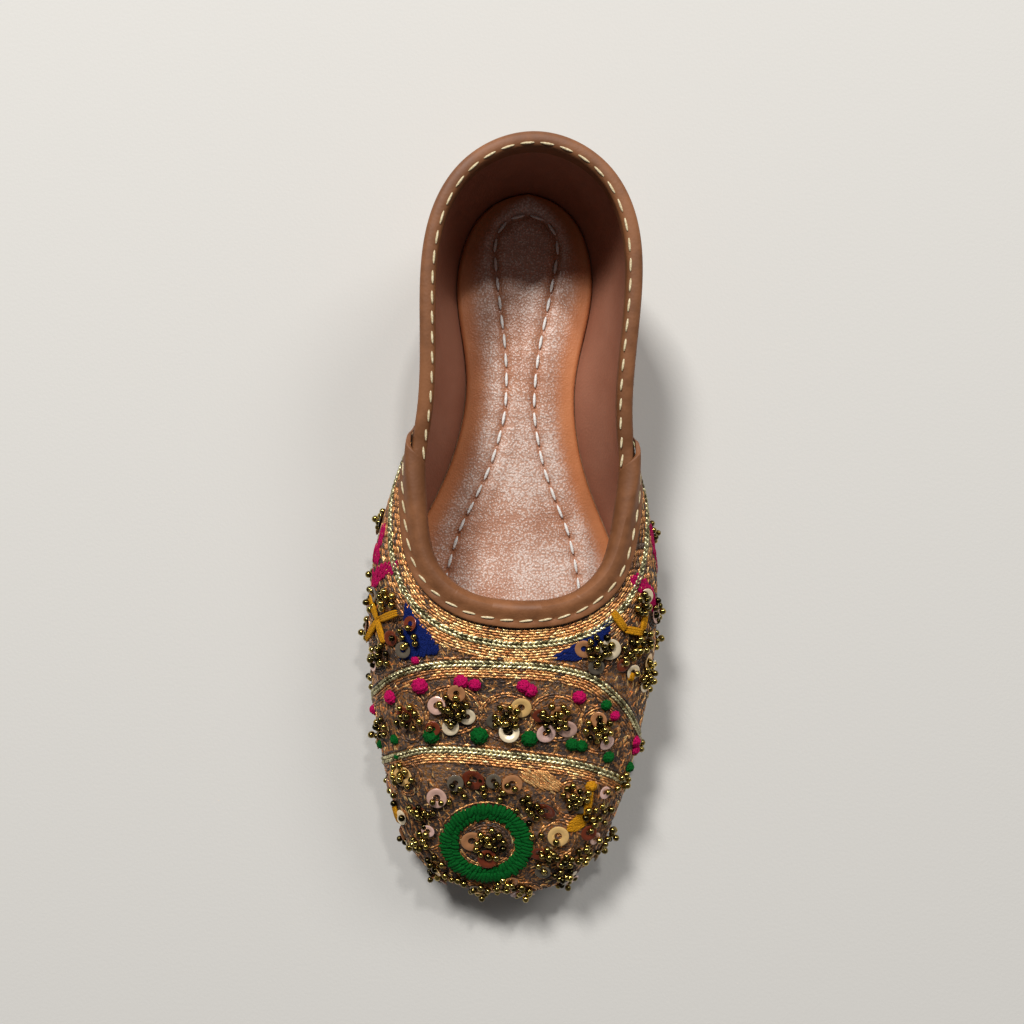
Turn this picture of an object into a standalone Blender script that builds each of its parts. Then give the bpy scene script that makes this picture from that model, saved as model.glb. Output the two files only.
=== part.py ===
"""Mojari slip-on shoe, one shoe standing empty on its sole.

The heel points along +Y, the toe along -Y, up is +Z.
The origin is on the floor under the middle of the leather upper.
A straight last, alike on both sides, carries the upper.
"""

import math

import bpy
import numpy as np

# Sizes of the last and of the whole shoe
LENGTH = 0.240
BALL_WIDTH = 0.093
THROAT_ALONG = 0.594
COLLAR_HEIGHT = 0.058
VAMP_SLOPE = 0.215
SIDE_ROUNDING = 0.044
TOE_ROUNDING = 0.031
SIDE_FULLNESS = 2.25
TOE_FULLNESS = 3.0
WALL_SWELL = 2.0
RUN_ON_ROWS = 0.55

# Leather and cloth, and how far each layer lies off the next
GAP = 0.0003
COVER_EASE = 0.0004
BINDING_EASE = 0.0006
WING_EASE = 0.0003
WING_CUT_OVERRUN = 0.02
WING_CUT_DEPTH = 0.016
WING_CUT_HEIGHT = 0.006
WING_CUT_INWARD = 0.007
UPPER_WALL = 0.0020
COVER_THICKNESS = 0.0009
BINDING_THICKNESS = 0.0008
THROAT_BAND = 0.0082
WING_BAND = 0.0052
COLLAR_BAND = 0.0040
COLLAR_FOLD = 0.0052
THROAT_FOLD = 0.0070
FOLD_ROUNDING = 0.30
FOLD_SHOULDER = 0.80
OUTER_LEG = (0, 0.33, 0.66, 1)
INNER_LEG = (0, 0.5, 1)

# Where the embroidered front ends on each side, measured from the heel
WING_TIP = 0.365
SEAM_INSET = 0.012
WING_SEAM_LEAN = 0.030
LEAN_FADE = 4
COLLAR_END = 0.437
COLLAR_CLEARANCE = 0.0026
BAND_FULL_AFTER = 0.020
COVER_SHOULDER_AFTER = 0.006
COVER_SHOULDER = 0.055
COVER_DROP = 0.0012
COVER_LIFT = 0.00035

# Sole
OUTSOLE_THICKNESS = 0.0035
OUTSOLE_EDGE = 0.0008
HEEL_LIFT = 0.0060
HEEL_LIFT_LENGTH = 0.058
HEEL_LIFT_INSET = 0.0012
HEEL_BREAST_CURVE = 0.0035
SHANK_START = 0.24
SHANK_END = 0.55
TREAD_END = 0.76
TOE_SPRING = 0.0045
INSOLE_EDGE_THICKNESS = 0.0016
INSOLE_PADDING = 0.0010

# Fineness of the faces
AROUND = 88
END_CROWDING = 0.18
WALL_ROWS = 3
CROWN_ROWS = 8
INSOLE_COLUMNS = 4
BREAST_POINTS = 9
END_SPACE = 0.003
BREAST_STEP = 0.002
TIP_TRIM = 0.003
SHARP_ANGLE = 40
STEP = 1e-4
TINY = 1e-9
LADDER_STEPS = 160
TURN_STEPS = 800

# One row per section from the back of the heel to the tip of the toe.
# along and top_along are shares of LENGTH from the back of the heel, half and top_half are
# shares of half the BALL_WIDTH, tuck is a share of BALL_WIDTH, and rise and top_rise are
# shares of COLLAR_HEIGHT.
SECTION_COLUMNS = ("along", "half", "rise", "tuck", "top_along", "top_half", "top_rise")
SECTIONS = (
    (0.000, 0.000, 0.72, 0.024, 0.0010, 0.000, 1.000),
    (0.010, 0.245, 0.72, 0.028, 0.0110, 0.242, 0.999),
    (0.039, 0.465, 0.72, 0.043, 0.0400, 0.460, 0.994),
    (0.083, 0.613, 0.72, 0.060, 0.0835, 0.606, 0.984),
    (0.140, 0.688, 0.70, 0.072, 0.1400, 0.680, 0.966),
    (0.210, 0.698, 0.67, 0.094, 0.2100, 0.690, 0.935),
    (0.290, 0.684, 0.61, 0.118, 0.2900, 0.676, 0.880),
    (0.350, 0.700, 0.57, 0.112, 0.3500, 0.688, 0.826),
    (0.402, 0.760, 0.53, 0.104, 0.4020, 0.716, 0.792),
    (0.456, 0.862, 0.46, 0.096, 0.4540, 0.694, 0.779),
    (0.515, 0.952, 0.37, 0.078, 0.5090, 0.648, 0.775),
    (0.580, 0.996, 0.30, 0.060, 0.5450, 0.580, 0.780),
    (0.655, 0.997, 0.275, 0.046, 0.5690, 0.470, 0.784),
    (0.740, 0.946, 0.26, 0.042, 0.5830, 0.350, 0.785),
    (0.825, 0.858, 0.25, 0.040, 0.5900, 0.238, 0.785),
    (0.900, 0.745, 0.25, 0.040, 0.5925, 0.150, 0.785),
    (0.956, 0.590, 0.25, 0.040, 0.5935, 0.086, 0.785),
    (0.989, 0.340, 0.25, 0.039, 0.5940, 0.038, 0.785),
    (1.000, 0.000, 0.25, 0.038, 0.5940, 0.000, 0.785),
)


def loop_spline(knots, values, at):
    """Smooth closed curve through the values at the knots, the last knot closing the loop."""
    gaps = np.diff(knots)
    count = len(gaps)
    here = np.arange(count)
    matrix = np.zeros((count, count))
    matrix[here, here] = 2 * (np.roll(gaps, 1) + gaps)
    matrix[here, here - 1] += np.roll(gaps, 1)
    matrix[here, (here + 1) % count] += gaps
    slopes = (np.roll(values, -1) - values) / gaps
    bends = np.linalg.solve(matrix, 6 * (slopes - np.roll(slopes, 1)))
    index = np.clip(np.searchsorted(knots, at, side="right") - 1, 0, count - 1)
    after = (index + 1) % count
    left = at - knots[index]
    right = gaps[index] - left
    cubic = (bends[index] * right**3 + bends[after] * left**3) / (6 * gaps[index])
    from_left = (values[index] / gaps[index] - bends[index] * gaps[index] / 6) * right
    from_right = (values[after] / gaps[index] - bends[after] * gaps[index] / 6) * left
    return cubic + from_left + from_right


def section_columns():
    """The sections of both sides as closed columns in metres, with their knots from 0 to 1."""
    right = {name: [row[i] for row in SECTIONS] for i, name in enumerate(SECTION_COLUMNS)}
    column = {}
    for name, values in right.items():
        side = -1 if name in ("half", "top_half") else 1
        column[name] = np.array(values + [side * value for value in values[-2:0:-1]])
    for name in ("along", "top_along"):
        column[name] = (0.5 - column[name]) * LENGTH
    for name in ("half", "top_half"):
        column[name] = column[name] * BALL_WIDTH / 2
    for name in ("rise", "top_rise"):
        column[name] = column[name] * COLLAR_HEIGHT
    column["tuck"] = column["tuck"] * BALL_WIDTH
    steps_x = np.roll(column["half"], -1) - column["half"]
    steps_y = np.roll(column["along"], -1) - column["along"]
    knots = np.concatenate([[0], np.cumsum(np.hypot(steps_x, steps_y))])
    return column, knots / knots[-1]


COLUMN, KNOTS = section_columns()


def at_turn(name, turn):
    """A column of the section table at a share of the way around the shoe, from the heel."""
    return loop_spline(KNOTS, COLUMN[name], np.mod(turn, 1.0))


def ease(share):
    share = np.clip(share, 0, 1)
    return share * share * (3 - 2 * share)


def sole_underside(y):
    """Height of the underside of the outsole: heel seat, shank, flat tread, toe spring."""
    along = 0.5 - y / LENGTH
    shank = ease((along - SHANK_START) / (SHANK_END - SHANK_START))
    toe = np.clip((along - TREAD_END) / (1 - TREAD_END), 0, None)
    return (HEEL_LIFT + GAP) * (1 - shank) + TOE_SPRING * toe**2


def seat_height(y):
    """Height of the lower edge of the upper, just above the outsole."""
    return sole_underside(y) + OUTSOLE_THICKNESS + GAP


def wide_line(turn):
    return np.stack([at_turn("half", turn), at_turn("along", turn)], axis=-1)


def outward(turn):
    """Level direction away from the shoe, square to its fullest line."""
    run = wide_line(turn + STEP) - wide_line(turn - STEP)
    run /= np.linalg.norm(run, axis=-1, keepdims=True)
    return np.stack([-run[..., 1], run[..., 0]], axis=-1)


def seat_line(turn, out=0.0):
    """The line where the wall of the upper meets the sole, moved outward by out."""
    return wide_line(turn) + outward(turn) * (out - at_turn("tuck", turn))[..., None]


def wall_point(turn, climb):
    """Plan and height on the wall, from the sole at climb 0 to the fullest line at 1."""
    wide = wide_line(turn)
    seat = seat_line(turn)
    swell = 1 - (1 - climb) ** WALL_SWELL
    plan = seat + (wide - seat) * swell[..., None]
    foot = seat_height(plan[..., 1])
    return plan, foot + (at_turn("rise", turn) - foot) * climb


def crown_point(turn, share):
    """Plan and height above the fullest line, up to the cut top edge at share 1.

    The section first bends over in a part of a superellipse, then runs straight on to the
    top edge where that lies farther in than the rounding reaches.
    """
    wide = wide_line(turn)
    rise = at_turn("rise", turn)
    top = np.stack([at_turn("top_half", turn), at_turn("top_along", turn)], axis=-1)
    reach = np.linalg.norm(top - wide, axis=-1)
    front = np.clip(reach / (LENGTH * (1 - THROAT_ALONG)), 0, 1)
    fullness = SIDE_FULLNESS + (TOE_FULLNESS - SIDE_FULLNESS) * front
    rounding = SIDE_ROUNDING + (TOE_ROUNDING - SIDE_ROUNDING) * front
    run_on = np.clip(reach - rounding, 0, None)
    bend_end = 1 - RUN_ON_ROWS * run_on / reach
    sweep = np.arccos((1 - np.clip(reach / rounding, 0, 1)) ** (fullness / 2))
    angle = sweep * np.clip(share / bend_end, 0, 1)
    bent = (1 - np.cos(angle) ** (2 / fullness)) * rounding
    straight = run_on * np.clip((share - bend_end) / np.maximum(1 - bend_end, TINY), 0, 1)
    plan = wide + (top - wide) * ((bent + straight) / reach)[..., None]
    ceiling = at_turn("top_rise", turn) - VAMP_SLOPE * (top[..., 1] - plan[..., 1])
    lift = (np.sin(angle) / np.sin(sweep)) ** (2 / fullness)
    return plan, rise + (ceiling - rise) * lift


def skin(turn, climb):
    """A point of the outside of the last: climb 0 at the sole, 1 at the fullest line, 2 on top."""
    turn, climb = np.broadcast_arrays(np.asarray(turn, float), np.asarray(climb, float))
    wall_plan, wall_height = wall_point(turn, np.clip(climb, 0, 1))
    crown_plan, crown_height = crown_point(turn, np.clip(climb - 1, 0, 1))
    on_crown = climb > 1
    plan = np.where(on_crown[..., None], crown_plan, wall_plan)
    height = np.where(on_crown, crown_height, wall_height)
    return np.concatenate([plan, height[..., None]], axis=-1)


def pushed(turn, climb, out, above=0.0):
    """The skin moved out along its normal, and past the top edge by above."""
    turn, climb, out, above = np.broadcast_arrays(turn, climb, out, above)
    upward = skin(turn, np.clip(climb + STEP, 0, 2)) - skin(turn, np.clip(climb - STEP, 0, 2))
    upward /= np.linalg.norm(upward, axis=-1, keepdims=True)
    run = skin(turn + STEP, climb) - skin(turn - STEP, climb)
    normal = np.cross(upward, run)
    at_sole = climb <= 0
    normal[..., 2] = np.where(at_sole, 0, normal[..., 2])
    normal /= np.linalg.norm(normal, axis=-1, keepdims=True)
    points = skin(turn, climb) + normal * out[..., None] + upward * above[..., None]
    points[..., 2] = np.where(at_sole, seat_height(points[..., 1]), points[..., 2])
    return points


def climb_at_depth(turn, depth):
    """The climb that lies this far below the top edge, measured down the skin."""
    ladder = np.linspace(2, 0, LADDER_STEPS)
    found = np.empty(len(turn))
    for i, (one_turn, one_depth) in enumerate(zip(turn, np.broadcast_to(depth, len(turn)))):
        line = skin(np.full(len(ladder), one_turn), ladder)
        lengths = np.linalg.norm(np.diff(line, axis=0), axis=1)
        found[i] = np.interp(one_depth, np.concatenate([[0], np.cumsum(lengths)]), ladder)
    return found


def top_share(turn):
    """How far the top edge lies from the heel at this turn, as a share of LENGTH."""
    return 0.5 - at_turn("top_along", turn) / LENGTH


def turn_at_top(along):
    """The right-hand turn where the top edge is this share of LENGTH from the heel."""
    turns = np.linspace(0, 0.5, TURN_STEPS)
    return float(np.interp(along, top_share(turns), turns))


def lattice_turns(first, last):
    """The turns shared by all pieces that lie between first and last, with these two ends.

    They are closer together round the heel and the toe.
    """
    even = np.arange(-AROUND, 2 * AROUND + 1) / AROUND
    shared = even - END_CROWDING * np.sin(4 * math.pi * even) / (4 * math.pi)
    inside = shared[(shared > first + END_SPACE) & (shared < last - END_SPACE)]
    return np.concatenate([[first], inside, [last]])


def leather_material(name, colour, roughness, metallic=0.0):
    material = bpy.data.materials.new(name)
    material.use_nodes = True
    shader = material.node_tree.nodes["Principled BSDF"]
    shader.inputs["Base Color"].default_value = (*colour, 1)
    shader.inputs["Roughness"].default_value = roughness
    shader.inputs["Metallic"].default_value = metallic
    return material


def add_object(name, points, faces, material, collection):
    mesh = bpy.data.meshes.new(name)
    mesh.from_pydata([tuple(point) for point in points], [], faces)
    mesh.validate()
    mesh.shade_smooth()
    mesh.set_sharp_from_angle(angle=math.radians(SHARP_ANGLE))
    mesh.materials.append(material)
    thing = bpy.data.objects.new(name, mesh)
    collection.objects.link(thing)
    return thing


def loft(rings, closed):
    """Points and faces of a solid through closed rings, ended by flat caps unless it closes."""
    count, around = rings.shape[:2]
    faces = []
    for i in range(count if closed else count - 1):
        for j in range(around):
            here, there = i * around, (i + 1) % count * around
            after = (j + 1) % around
            faces.append((here + j, here + after, there + after, there + j))
    if not closed:
        faces.append(tuple(range(around - 1, -1, -1)))
        faces.append(tuple(range((count - 1) * around, count * around)))
    return rings.reshape(-1, 3), faces


def capped_strip(rings, half):
    """Loft of thin sheet rings whose two ends are closed by quads between their two faces."""
    points, faces = loft(rings, closed=False)
    faces = faces[:-2]
    around = rings.shape[1]
    for start, flip in ((0, True), ((rings.shape[0] - 1) * around, False)):
        for j in range(half - 1):
            quad = (start + j, start + j + 1, start + around - 2 - j, start + around - 1 - j)
            faces.append(quad[::-1] if flip else quad)
    return points, faces


def channel_rings(turns, outer_depth, inner_depth, low, high):
    """Rings of a strip folded over the top edge: outer leg, rounded fold, inner leg."""
    inner_low = -(UPPER_WALL + BINDING_EASE)
    inner_high = inner_low - BINDING_THICKNESS
    fold = BINDING_EASE + BINDING_THICKNESS
    edge = np.full(len(turns), 2.0)
    outer = [edge + (climb_at_depth(turns, outer_depth) - edge) * part for part in OUTER_LEG]
    inner = [edge + (climb_at_depth(turns, inner_depth) - edge) * part for part in INNER_LEG]
    rows = [(climb, high, 0.0) for climb in outer[::-1]]
    rows.append((edge, high - FOLD_ROUNDING * fold, fold * FOLD_SHOULDER))
    rows.append((edge, (high + inner_high) / 2, fold))
    rows.append((edge, inner_high + FOLD_ROUNDING * fold, fold * FOLD_SHOULDER))
    rows += [(climb, inner_high, 0.0) for climb in inner]
    rows += [(climb, inner_low, 0.0) for climb in inner[:0:-1]]
    rows.append((edge, inner_low, BINDING_EASE))
    rows.append((edge, low, BINDING_EASE))
    rows += [(climb, low, 0.0) for climb in outer[1:]]
    return np.stack([pushed(turns, climb, out, above) for climb, out, above in rows], axis=1)


def difference(thing, cutter, name):
    modifier = thing.modifiers.new(name, "BOOLEAN")
    modifier.operation = "DIFFERENCE"
    modifier.solver = "EXACT"
    modifier.object = cutter


# Start from an empty scene
for old in list(bpy.data.objects):
    bpy.data.objects.remove(old, do_unlink=True)

shoe = bpy.data.collections.new("mojari_shoe")
bpy.context.scene.collection.children.link(shoe)
guides = bpy.data.collections.new("guides")
bpy.context.scene.collection.children.link(guides)

tip_turn = turn_at_top(WING_TIP)
collar_turn = turn_at_top(COLLAR_END)

# Upper: one hollow lasted shell of soft leather, open at the top edge and along the sole
tan_leather = leather_material("tan_leather", (0.30, 0.13, 0.06), 0.5)
around_turns = lattice_turns(0, 1)[:-1]
wall_climbs = np.linspace(0, 1, WALL_ROWS + 1)
crown_climbs = np.linspace(1, 2, CROWN_ROWS + 1)[1:]
climbs = np.concatenate([wall_climbs, crown_climbs])
outer_face = pushed(around_turns[:, None], climbs[None, :], 0.0)
inner_face = pushed(around_turns[:, None], climbs[None, ::-1], -UPPER_WALL)
points, faces = loft(np.concatenate([outer_face, inner_face], axis=1), closed=True)
upper = add_object("upper", points, faces, tan_leather, shoe)

# Embroidered cloth cover of the vamp, from wing to wing round the toe
bronze_cloth = leather_material("bronze_cloth", (0.16, 0.10, 0.07), 0.55, 0.4)
seam_top = turn_at_top(WING_TIP + SEAM_INSET)
seam_foot = turn_at_top(WING_TIP + SEAM_INSET - WING_SEAM_LEAN)
cover_turns = lattice_turns(seam_top, 1 - seam_top)
past_collar = top_share(cover_turns) - COLLAR_END - COVER_SHOULDER_AFTER
under_wing = 1 - ease(past_collar / COVER_SHOULDER)
cover_depth = (COLLAR_BAND + COVER_DROP) * under_wing
cover_low = (COVER_EASE + COVER_LIFT * under_wing)[:, None]
cover_top = climb_at_depth(cover_turns, cover_depth)
row_share = climbs / 2
cover_climbs = cover_top[:, None] * row_share
from_middle = np.linspace(-1, 1, len(cover_turns))
lean = np.clip(LEAN_FADE * (np.abs(from_middle) - 1) + 1, 0, 1) * (seam_top - seam_foot)
cover_grid = cover_turns[:, None] + (np.sign(from_middle) * lean)[:, None] * (1 - row_share)
cover_out = pushed(cover_grid, cover_climbs, cover_low + COVER_THICKNESS)
cover_in = pushed(cover_grid[:, ::-1], cover_climbs[:, ::-1], cover_low)
points, faces = capped_strip(np.concatenate([cover_out, cover_in], axis=1), len(climbs))
vamp_cover = add_object("vamp_cover", points, faces, bronze_cloth, shoe)

# Collar binding: a strip folded over the top edge of the heel quarter
binding_leather = leather_material("binding_leather", (0.36, 0.16, 0.07), 0.45)
collar_turns = lattice_turns(-collar_turn, collar_turn)
rings = channel_rings(
    collar_turns, COLLAR_BAND, COLLAR_FOLD, BINDING_EASE, BINDING_EASE + BINDING_THICKNESS
)
points, faces = loft(rings, closed=False)
collar_binding = add_object("collar_binding", points, faces, binding_leather, shoe)

# Throat binding: a wider strip folded over the edge of the vamp, its ends lying as flat
# wings outside the heel quarter
band_low = COVER_EASE + COVER_THICKNESS + BINDING_EASE
band_high = band_low + BINDING_THICKNESS
throat_turns = lattice_turns(tip_turn, 1 - tip_turn)
wing_length = COLLAR_END + BAND_FULL_AFTER - WING_TIP
to_front = ease((top_share(throat_turns) - WING_TIP) / wing_length)
band_depth = WING_BAND + (THROAT_BAND - WING_BAND) * to_front
rings = channel_rings(throat_turns, band_depth, THROAT_FOLD, band_low, band_high)
points, faces = loft(rings, closed=False)
throat_binding = add_object("throat_binding", points, faces, binding_leather, shoe)

# What lies inside each wing is cut away, so that the wing is a flat strip there
wing_low = band_low + WING_EASE
tip_beyond = tip_turn - WING_CUT_OVERRUN
fold_start = collar_turn + COLLAR_CLEARANCE
for side, first, last in (
    ("right", tip_beyond, fold_start),
    ("left", 1 - fold_start, 1 - tip_beyond),
):
    turns = lattice_turns(first, last)
    edge = np.full(len(turns), 2.0)
    deep = climb_at_depth(turns, WING_CUT_DEPTH)
    rows = [(edge, wing_low, WING_CUT_HEIGHT), (edge, -WING_CUT_INWARD, WING_CUT_HEIGHT)]
    rows.append((deep, -WING_CUT_INWARD, 0.0))
    rows += [(edge + (deep - edge) * part, wing_low, 0.0) for part in OUTER_LEG[::-1]]
    rings = np.stack([pushed(turns, climb, out, above) for climb, out, above in rows], axis=1)
    points, faces = loft(rings, closed=False)
    cutter = add_object("wing_cutter_" + side, points, faces, binding_leather, guides)
    cutter.hide_render = True
    cutter.display_type = "WIRE"
    difference(throat_binding, cutter, "wing_" + side)

# Outsole: one flat leather sole with heel seat, shank, tread and toe spring
sole_leather = leather_material("sole_leather", (0.42, 0.27, 0.15), 0.6)
half_turns = lattice_turns(TIP_TRIM, 0.5 - TIP_TRIM)


def plate(name, outline, bottom, top, columns, material):
    """Solid between two height functions over an outline alike on both sides."""
    shares = np.linspace(-1, 1, columns + 1)
    x = outline[:, :1] * shares
    y = np.repeat(outline[:, 1:], columns + 1, axis=1)
    share = np.broadcast_to(shares, x.shape)
    lower = np.stack([x, y, bottom(y, share)], axis=-1)
    upper_side = np.stack([x, y, top(y, share)], axis=-1)[:, ::-1]
    points, faces = loft(np.concatenate([lower, upper_side], axis=1), closed=False)
    return add_object(name, points, faces, material, shoe)


outsole_line = seat_line(half_turns, OUTSOLE_EDGE)
plate(
    "outsole",
    outsole_line,
    lambda y, share: sole_underside(y),
    lambda y, share: sole_underside(y) + OUTSOLE_THICKNESS,
    2,
    sole_leather,
)

# Insole: padded leather sock, a little domed across
sock_leather = leather_material("sock_leather", (0.45, 0.20, 0.10), 0.3, 0.2)
insole_line = seat_line(half_turns, -(UPPER_WALL + GAP))
plate(
    "insole",
    insole_line,
    lambda y, share: seat_height(y),
    lambda y, share: seat_height(y) + INSOLE_EDGE_THICKNESS + INSOLE_PADDING * (1 - share**2),
    INSOLE_COLUMNS,
    sock_leather,
)

# Heel lift: low stacked leather block under the heel seat, its breast slightly hollow
lift_side = seat_line(half_turns, OUTSOLE_EDGE - HEEL_LIFT_INSET)
breast = LENGTH / 2 - HEEL_LIFT_LENGTH
breast_half = np.interp(-breast, -lift_side[:, 1], lift_side[:, 0])
lift_side = lift_side[lift_side[:, 1] > breast + BREAST_STEP]
across = np.linspace(-1, 1, BREAST_POINTS)
breast_line = np.stack(
    [across * breast_half, breast + HEEL_BREAST_CURVE * (1 - across**2)], axis=1
)
lift_line = np.concatenate([breast_line, lift_side[::-1], lift_side * (-1, 1)])
levels = [np.insert(lift_line, 2, level, axis=1) for level in (0, HEEL_LIFT)]
points, faces = loft(np.stack(levels), closed=False)
heel_lift = add_object("heel_lift", points, faces, sole_leather, shoe)
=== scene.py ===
import math

import bpy
import numpy as np
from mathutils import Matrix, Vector
from mathutils.bvhtree import BVHTree


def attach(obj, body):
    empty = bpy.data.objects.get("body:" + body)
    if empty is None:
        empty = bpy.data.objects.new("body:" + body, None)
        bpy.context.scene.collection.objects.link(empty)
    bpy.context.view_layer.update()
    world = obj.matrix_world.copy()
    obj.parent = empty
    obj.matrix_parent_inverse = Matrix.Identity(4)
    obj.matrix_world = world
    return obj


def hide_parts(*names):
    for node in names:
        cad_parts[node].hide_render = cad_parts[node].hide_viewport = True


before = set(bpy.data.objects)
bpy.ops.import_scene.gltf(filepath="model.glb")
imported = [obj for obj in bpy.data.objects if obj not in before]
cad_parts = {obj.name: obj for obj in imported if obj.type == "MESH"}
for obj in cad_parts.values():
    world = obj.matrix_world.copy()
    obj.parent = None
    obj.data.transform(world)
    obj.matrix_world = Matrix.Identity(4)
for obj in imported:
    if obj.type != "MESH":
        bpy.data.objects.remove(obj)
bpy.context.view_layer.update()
rng = np.random.default_rng(11)

# Camera: it looks straight down on the shoe from a little nearer the heel than the toe,
# turned a touch so that the heel leans to the right.
EYE_HEIGHT = 0.388
EYE_PLACE = (-0.0166, 0.0060)
EYE_TURN = math.radians(2.3)
PICTURE = 1024
FOCAL_PIXELS = 1100
NADIR_PIXEL = (467, 513)
SENSOR = 36.0

camera_data = bpy.data.cameras.new("camera")
camera_data.sensor_width = SENSOR
camera_data.lens = SENSOR * FOCAL_PIXELS / PICTURE
camera_data.shift_x = (PICTURE / 2 - NADIR_PIXEL[0]) / PICTURE
camera_data.shift_y = (NADIR_PIXEL[1] - PICTURE / 2) / PICTURE
camera = bpy.data.objects.new("camera", camera_data)
camera.location = (*EYE_PLACE, EYE_HEIGHT)
camera.rotation_euler = (0, 0, EYE_TURN)
bpy.context.scene.collection.objects.link(camera)
bpy.context.scene.camera = camera

# Studio: a plain pale floor under one window lamp from behind the heel, a little to the left,
# with a weak fill from the right and an even pale surround.
FLOOR_SIZE = 3.0
FLOOR_COLOUR = (0.630, 0.607, 0.566)
SURROUND_COLOUR = (0.96, 0.97, 1.0)
SURROUND_STRENGTH = 0.09
# name, place, size and watts of each lamp
LAMPS = (
    ("window", (-0.72, 1.34, 1.74), 0.42, 48.0),
    ("fill", (1.25, 1.40, 1.60), 0.90, 15.5),
    ("sparkle", (0.25, 1.40, 1.90), 0.16, 13.0),
)


class Sock:
    """A node socket that can be written as maths: each operator adds its Math node."""

    def __init__(self, tree, socket):
        self.tree = tree
        self.socket = socket

    def node(self, kind, settings=None, inputs=None, out=0):
        node = self.tree.nodes.new(kind)
        for name, value in (settings or {}).items():
            setattr(node, name, value)
        for name, value in (inputs or {}).items():
            if isinstance(value, Sock):
                self.tree.links.new(value.socket, node.inputs[name])
            elif isinstance(value, tuple) and node.inputs[name].type == "RGBA":
                node.inputs[name].default_value = (*value, 1)
            else:
                node.inputs[name].default_value = value
        return Sock(self.tree, node.outputs[out])

    def maths(self, operation, *values):
        return self.node("ShaderNodeMath", {"operation": operation}, dict(enumerate(values)))

    def __add__(self, other):
        return self.maths("ADD", self, other)

    def __sub__(self, other):
        return self.maths("SUBTRACT", self, other)

    def __rsub__(self, other):
        return self.maths("SUBTRACT", other, self)

    def __mul__(self, other):
        return self.maths("MULTIPLY", self, other)

    def __truediv__(self, other):
        return self.maths("DIVIDE", self, other)

    __radd__ = __add__
    __rmul__ = __mul__

    def step(self, low, high):
        """Smooth rise from 0 at low to 1 at high."""
        settings = {"interpolation_type": "SMOOTHSTEP"}
        inputs = {"Value": self, "From Min": low, "From Max": high}
        return self.node("ShaderNodeMapRange", settings, inputs)

    def blend(self, first, second):
        """The first colour where this mask is 0, the second where it is 1."""
        inputs = {0: self, 6: first, 7: second}
        return self.node("ShaderNodeMix", {"data_type": "RGBA"}, inputs, 2)

    def ramp(self, stops, interpolation="LINEAR"):
        """The colour that this number has on a scale of (number, colour) stops."""
        colours = self.node("ShaderNodeValToRGB", None, {"Fac": self})
        scale = colours.socket.node.color_ramp
        scale.interpolation = interpolation
        while len(scale.elements) < len(stops):
            scale.elements.new(0.5)
        for element, (number, colour) in zip(scale.elements, stops):
            element.position = number
            element.color = (*colour, 1)
        return colours

    def noise(self, scale, detail=3.0, roughness=0.55):
        """Value noise over this place, from 0 to 1."""
        inputs = {"Vector": self, "Scale": scale, "Detail": detail, "Roughness": roughness}
        return self.node("ShaderNodeTexNoise", None, inputs)

    def cells(self, scale, feature="F1"):
        """Distance to the nearest scattered point over this place."""
        inputs = {"Vector": self, "Scale": scale}
        return self.node("ShaderNodeTexVoronoi", {"feature": feature}, inputs)


class Finish:
    """A Principled material whose fixed numbers sit on the shader's own sockets."""

    def __init__(self, name, **fixed):
        self.material = bpy.data.materials.new(name)
        self.material.use_nodes = True
        tree = self.material.node_tree
        self.shader = tree.nodes["Principled BSDF"]
        self.start = Sock(tree, None)
        self.place = self.start.node("ShaderNodeTexCoord", out="Object")
        for socket, value in fixed.items():
            socket = socket.replace("_", " ")
            if isinstance(value, tuple):
                value = (*value, 1)
            self.shader.inputs[socket].default_value = value

    def kept(self, name):
        """The number of this name that the piece keeps at each of its points."""
        return self.start.node("ShaderNodeAttribute", {"attribute_name": name}, out="Fac")

    def feed(self, socket, value):
        self.start.tree.links.new(value.socket, self.shader.inputs[socket])

    def bump(self, height, distance, strength=1.0):
        inputs = {"Height": height, "Distance": distance, "Strength": strength}
        self.feed("Normal", self.start.node("ShaderNodeBump", None, inputs))


floor_finish = Finish("floor_paper", Base_Color=FLOOR_COLOUR, Roughness=0.9)
floor_finish.bump(floor_finish.place.noise(900.0), 0.00005)
bpy.ops.mesh.primitive_plane_add(size=FLOOR_SIZE)
floor = bpy.context.object
floor.name = "floor"
floor.data.materials.append(floor_finish.material)

for name, place, size, watts in LAMPS:
    lamp_data = bpy.data.lights.new(name, "AREA")
    lamp_data.size = size
    lamp_data.energy = watts
    lamp = bpy.data.objects.new(name, lamp_data)
    lamp.location = place
    lamp.rotation_euler = (-Vector(place)).to_track_quat("-Z", "Y").to_euler()
    bpy.context.scene.collection.objects.link(lamp)

world = bpy.data.worlds.new("surround")
world.use_nodes = True
surround = world.node_tree.nodes["Background"]
surround.inputs["Color"].default_value = (*SURROUND_COLOUR, 1)
surround.inputs["Strength"].default_value = SURROUND_STRENGTH
bpy.context.scene.world = world
bpy.context.scene.view_settings.view_transform = "Standard"

# Quarter and vamp: one lasted shell of soft brown leather, smooth reddish lining inside,
# its lower edge turned in over the sole. The shape comes from the last's own sections.
LENGTH = 0.240
BALL_WIDTH = 0.093
THROAT_ALONG = 0.594
COLLAR_HEIGHT = 0.058
VAMP_SLOPE = 0.215
SIDE_ROUNDING = 0.044
TOE_ROUNDING = 0.031
SIDE_FULLNESS = 2.25
TOE_FULLNESS = 3.0
WALL_SWELL = 2.0
RUN_ON_ROWS = 0.55
GAP = 0.0003
UPPER_WALL = 0.0020
OUTSOLE_THICKNESS = 0.0035
HEEL_LIFT = 0.0060
SHANK_START = 0.24
SHANK_END = 0.55
TREAD_END = 0.76
TOE_SPRING = 0.0045
STEP = 1e-4
TINY = 1e-9

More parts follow.
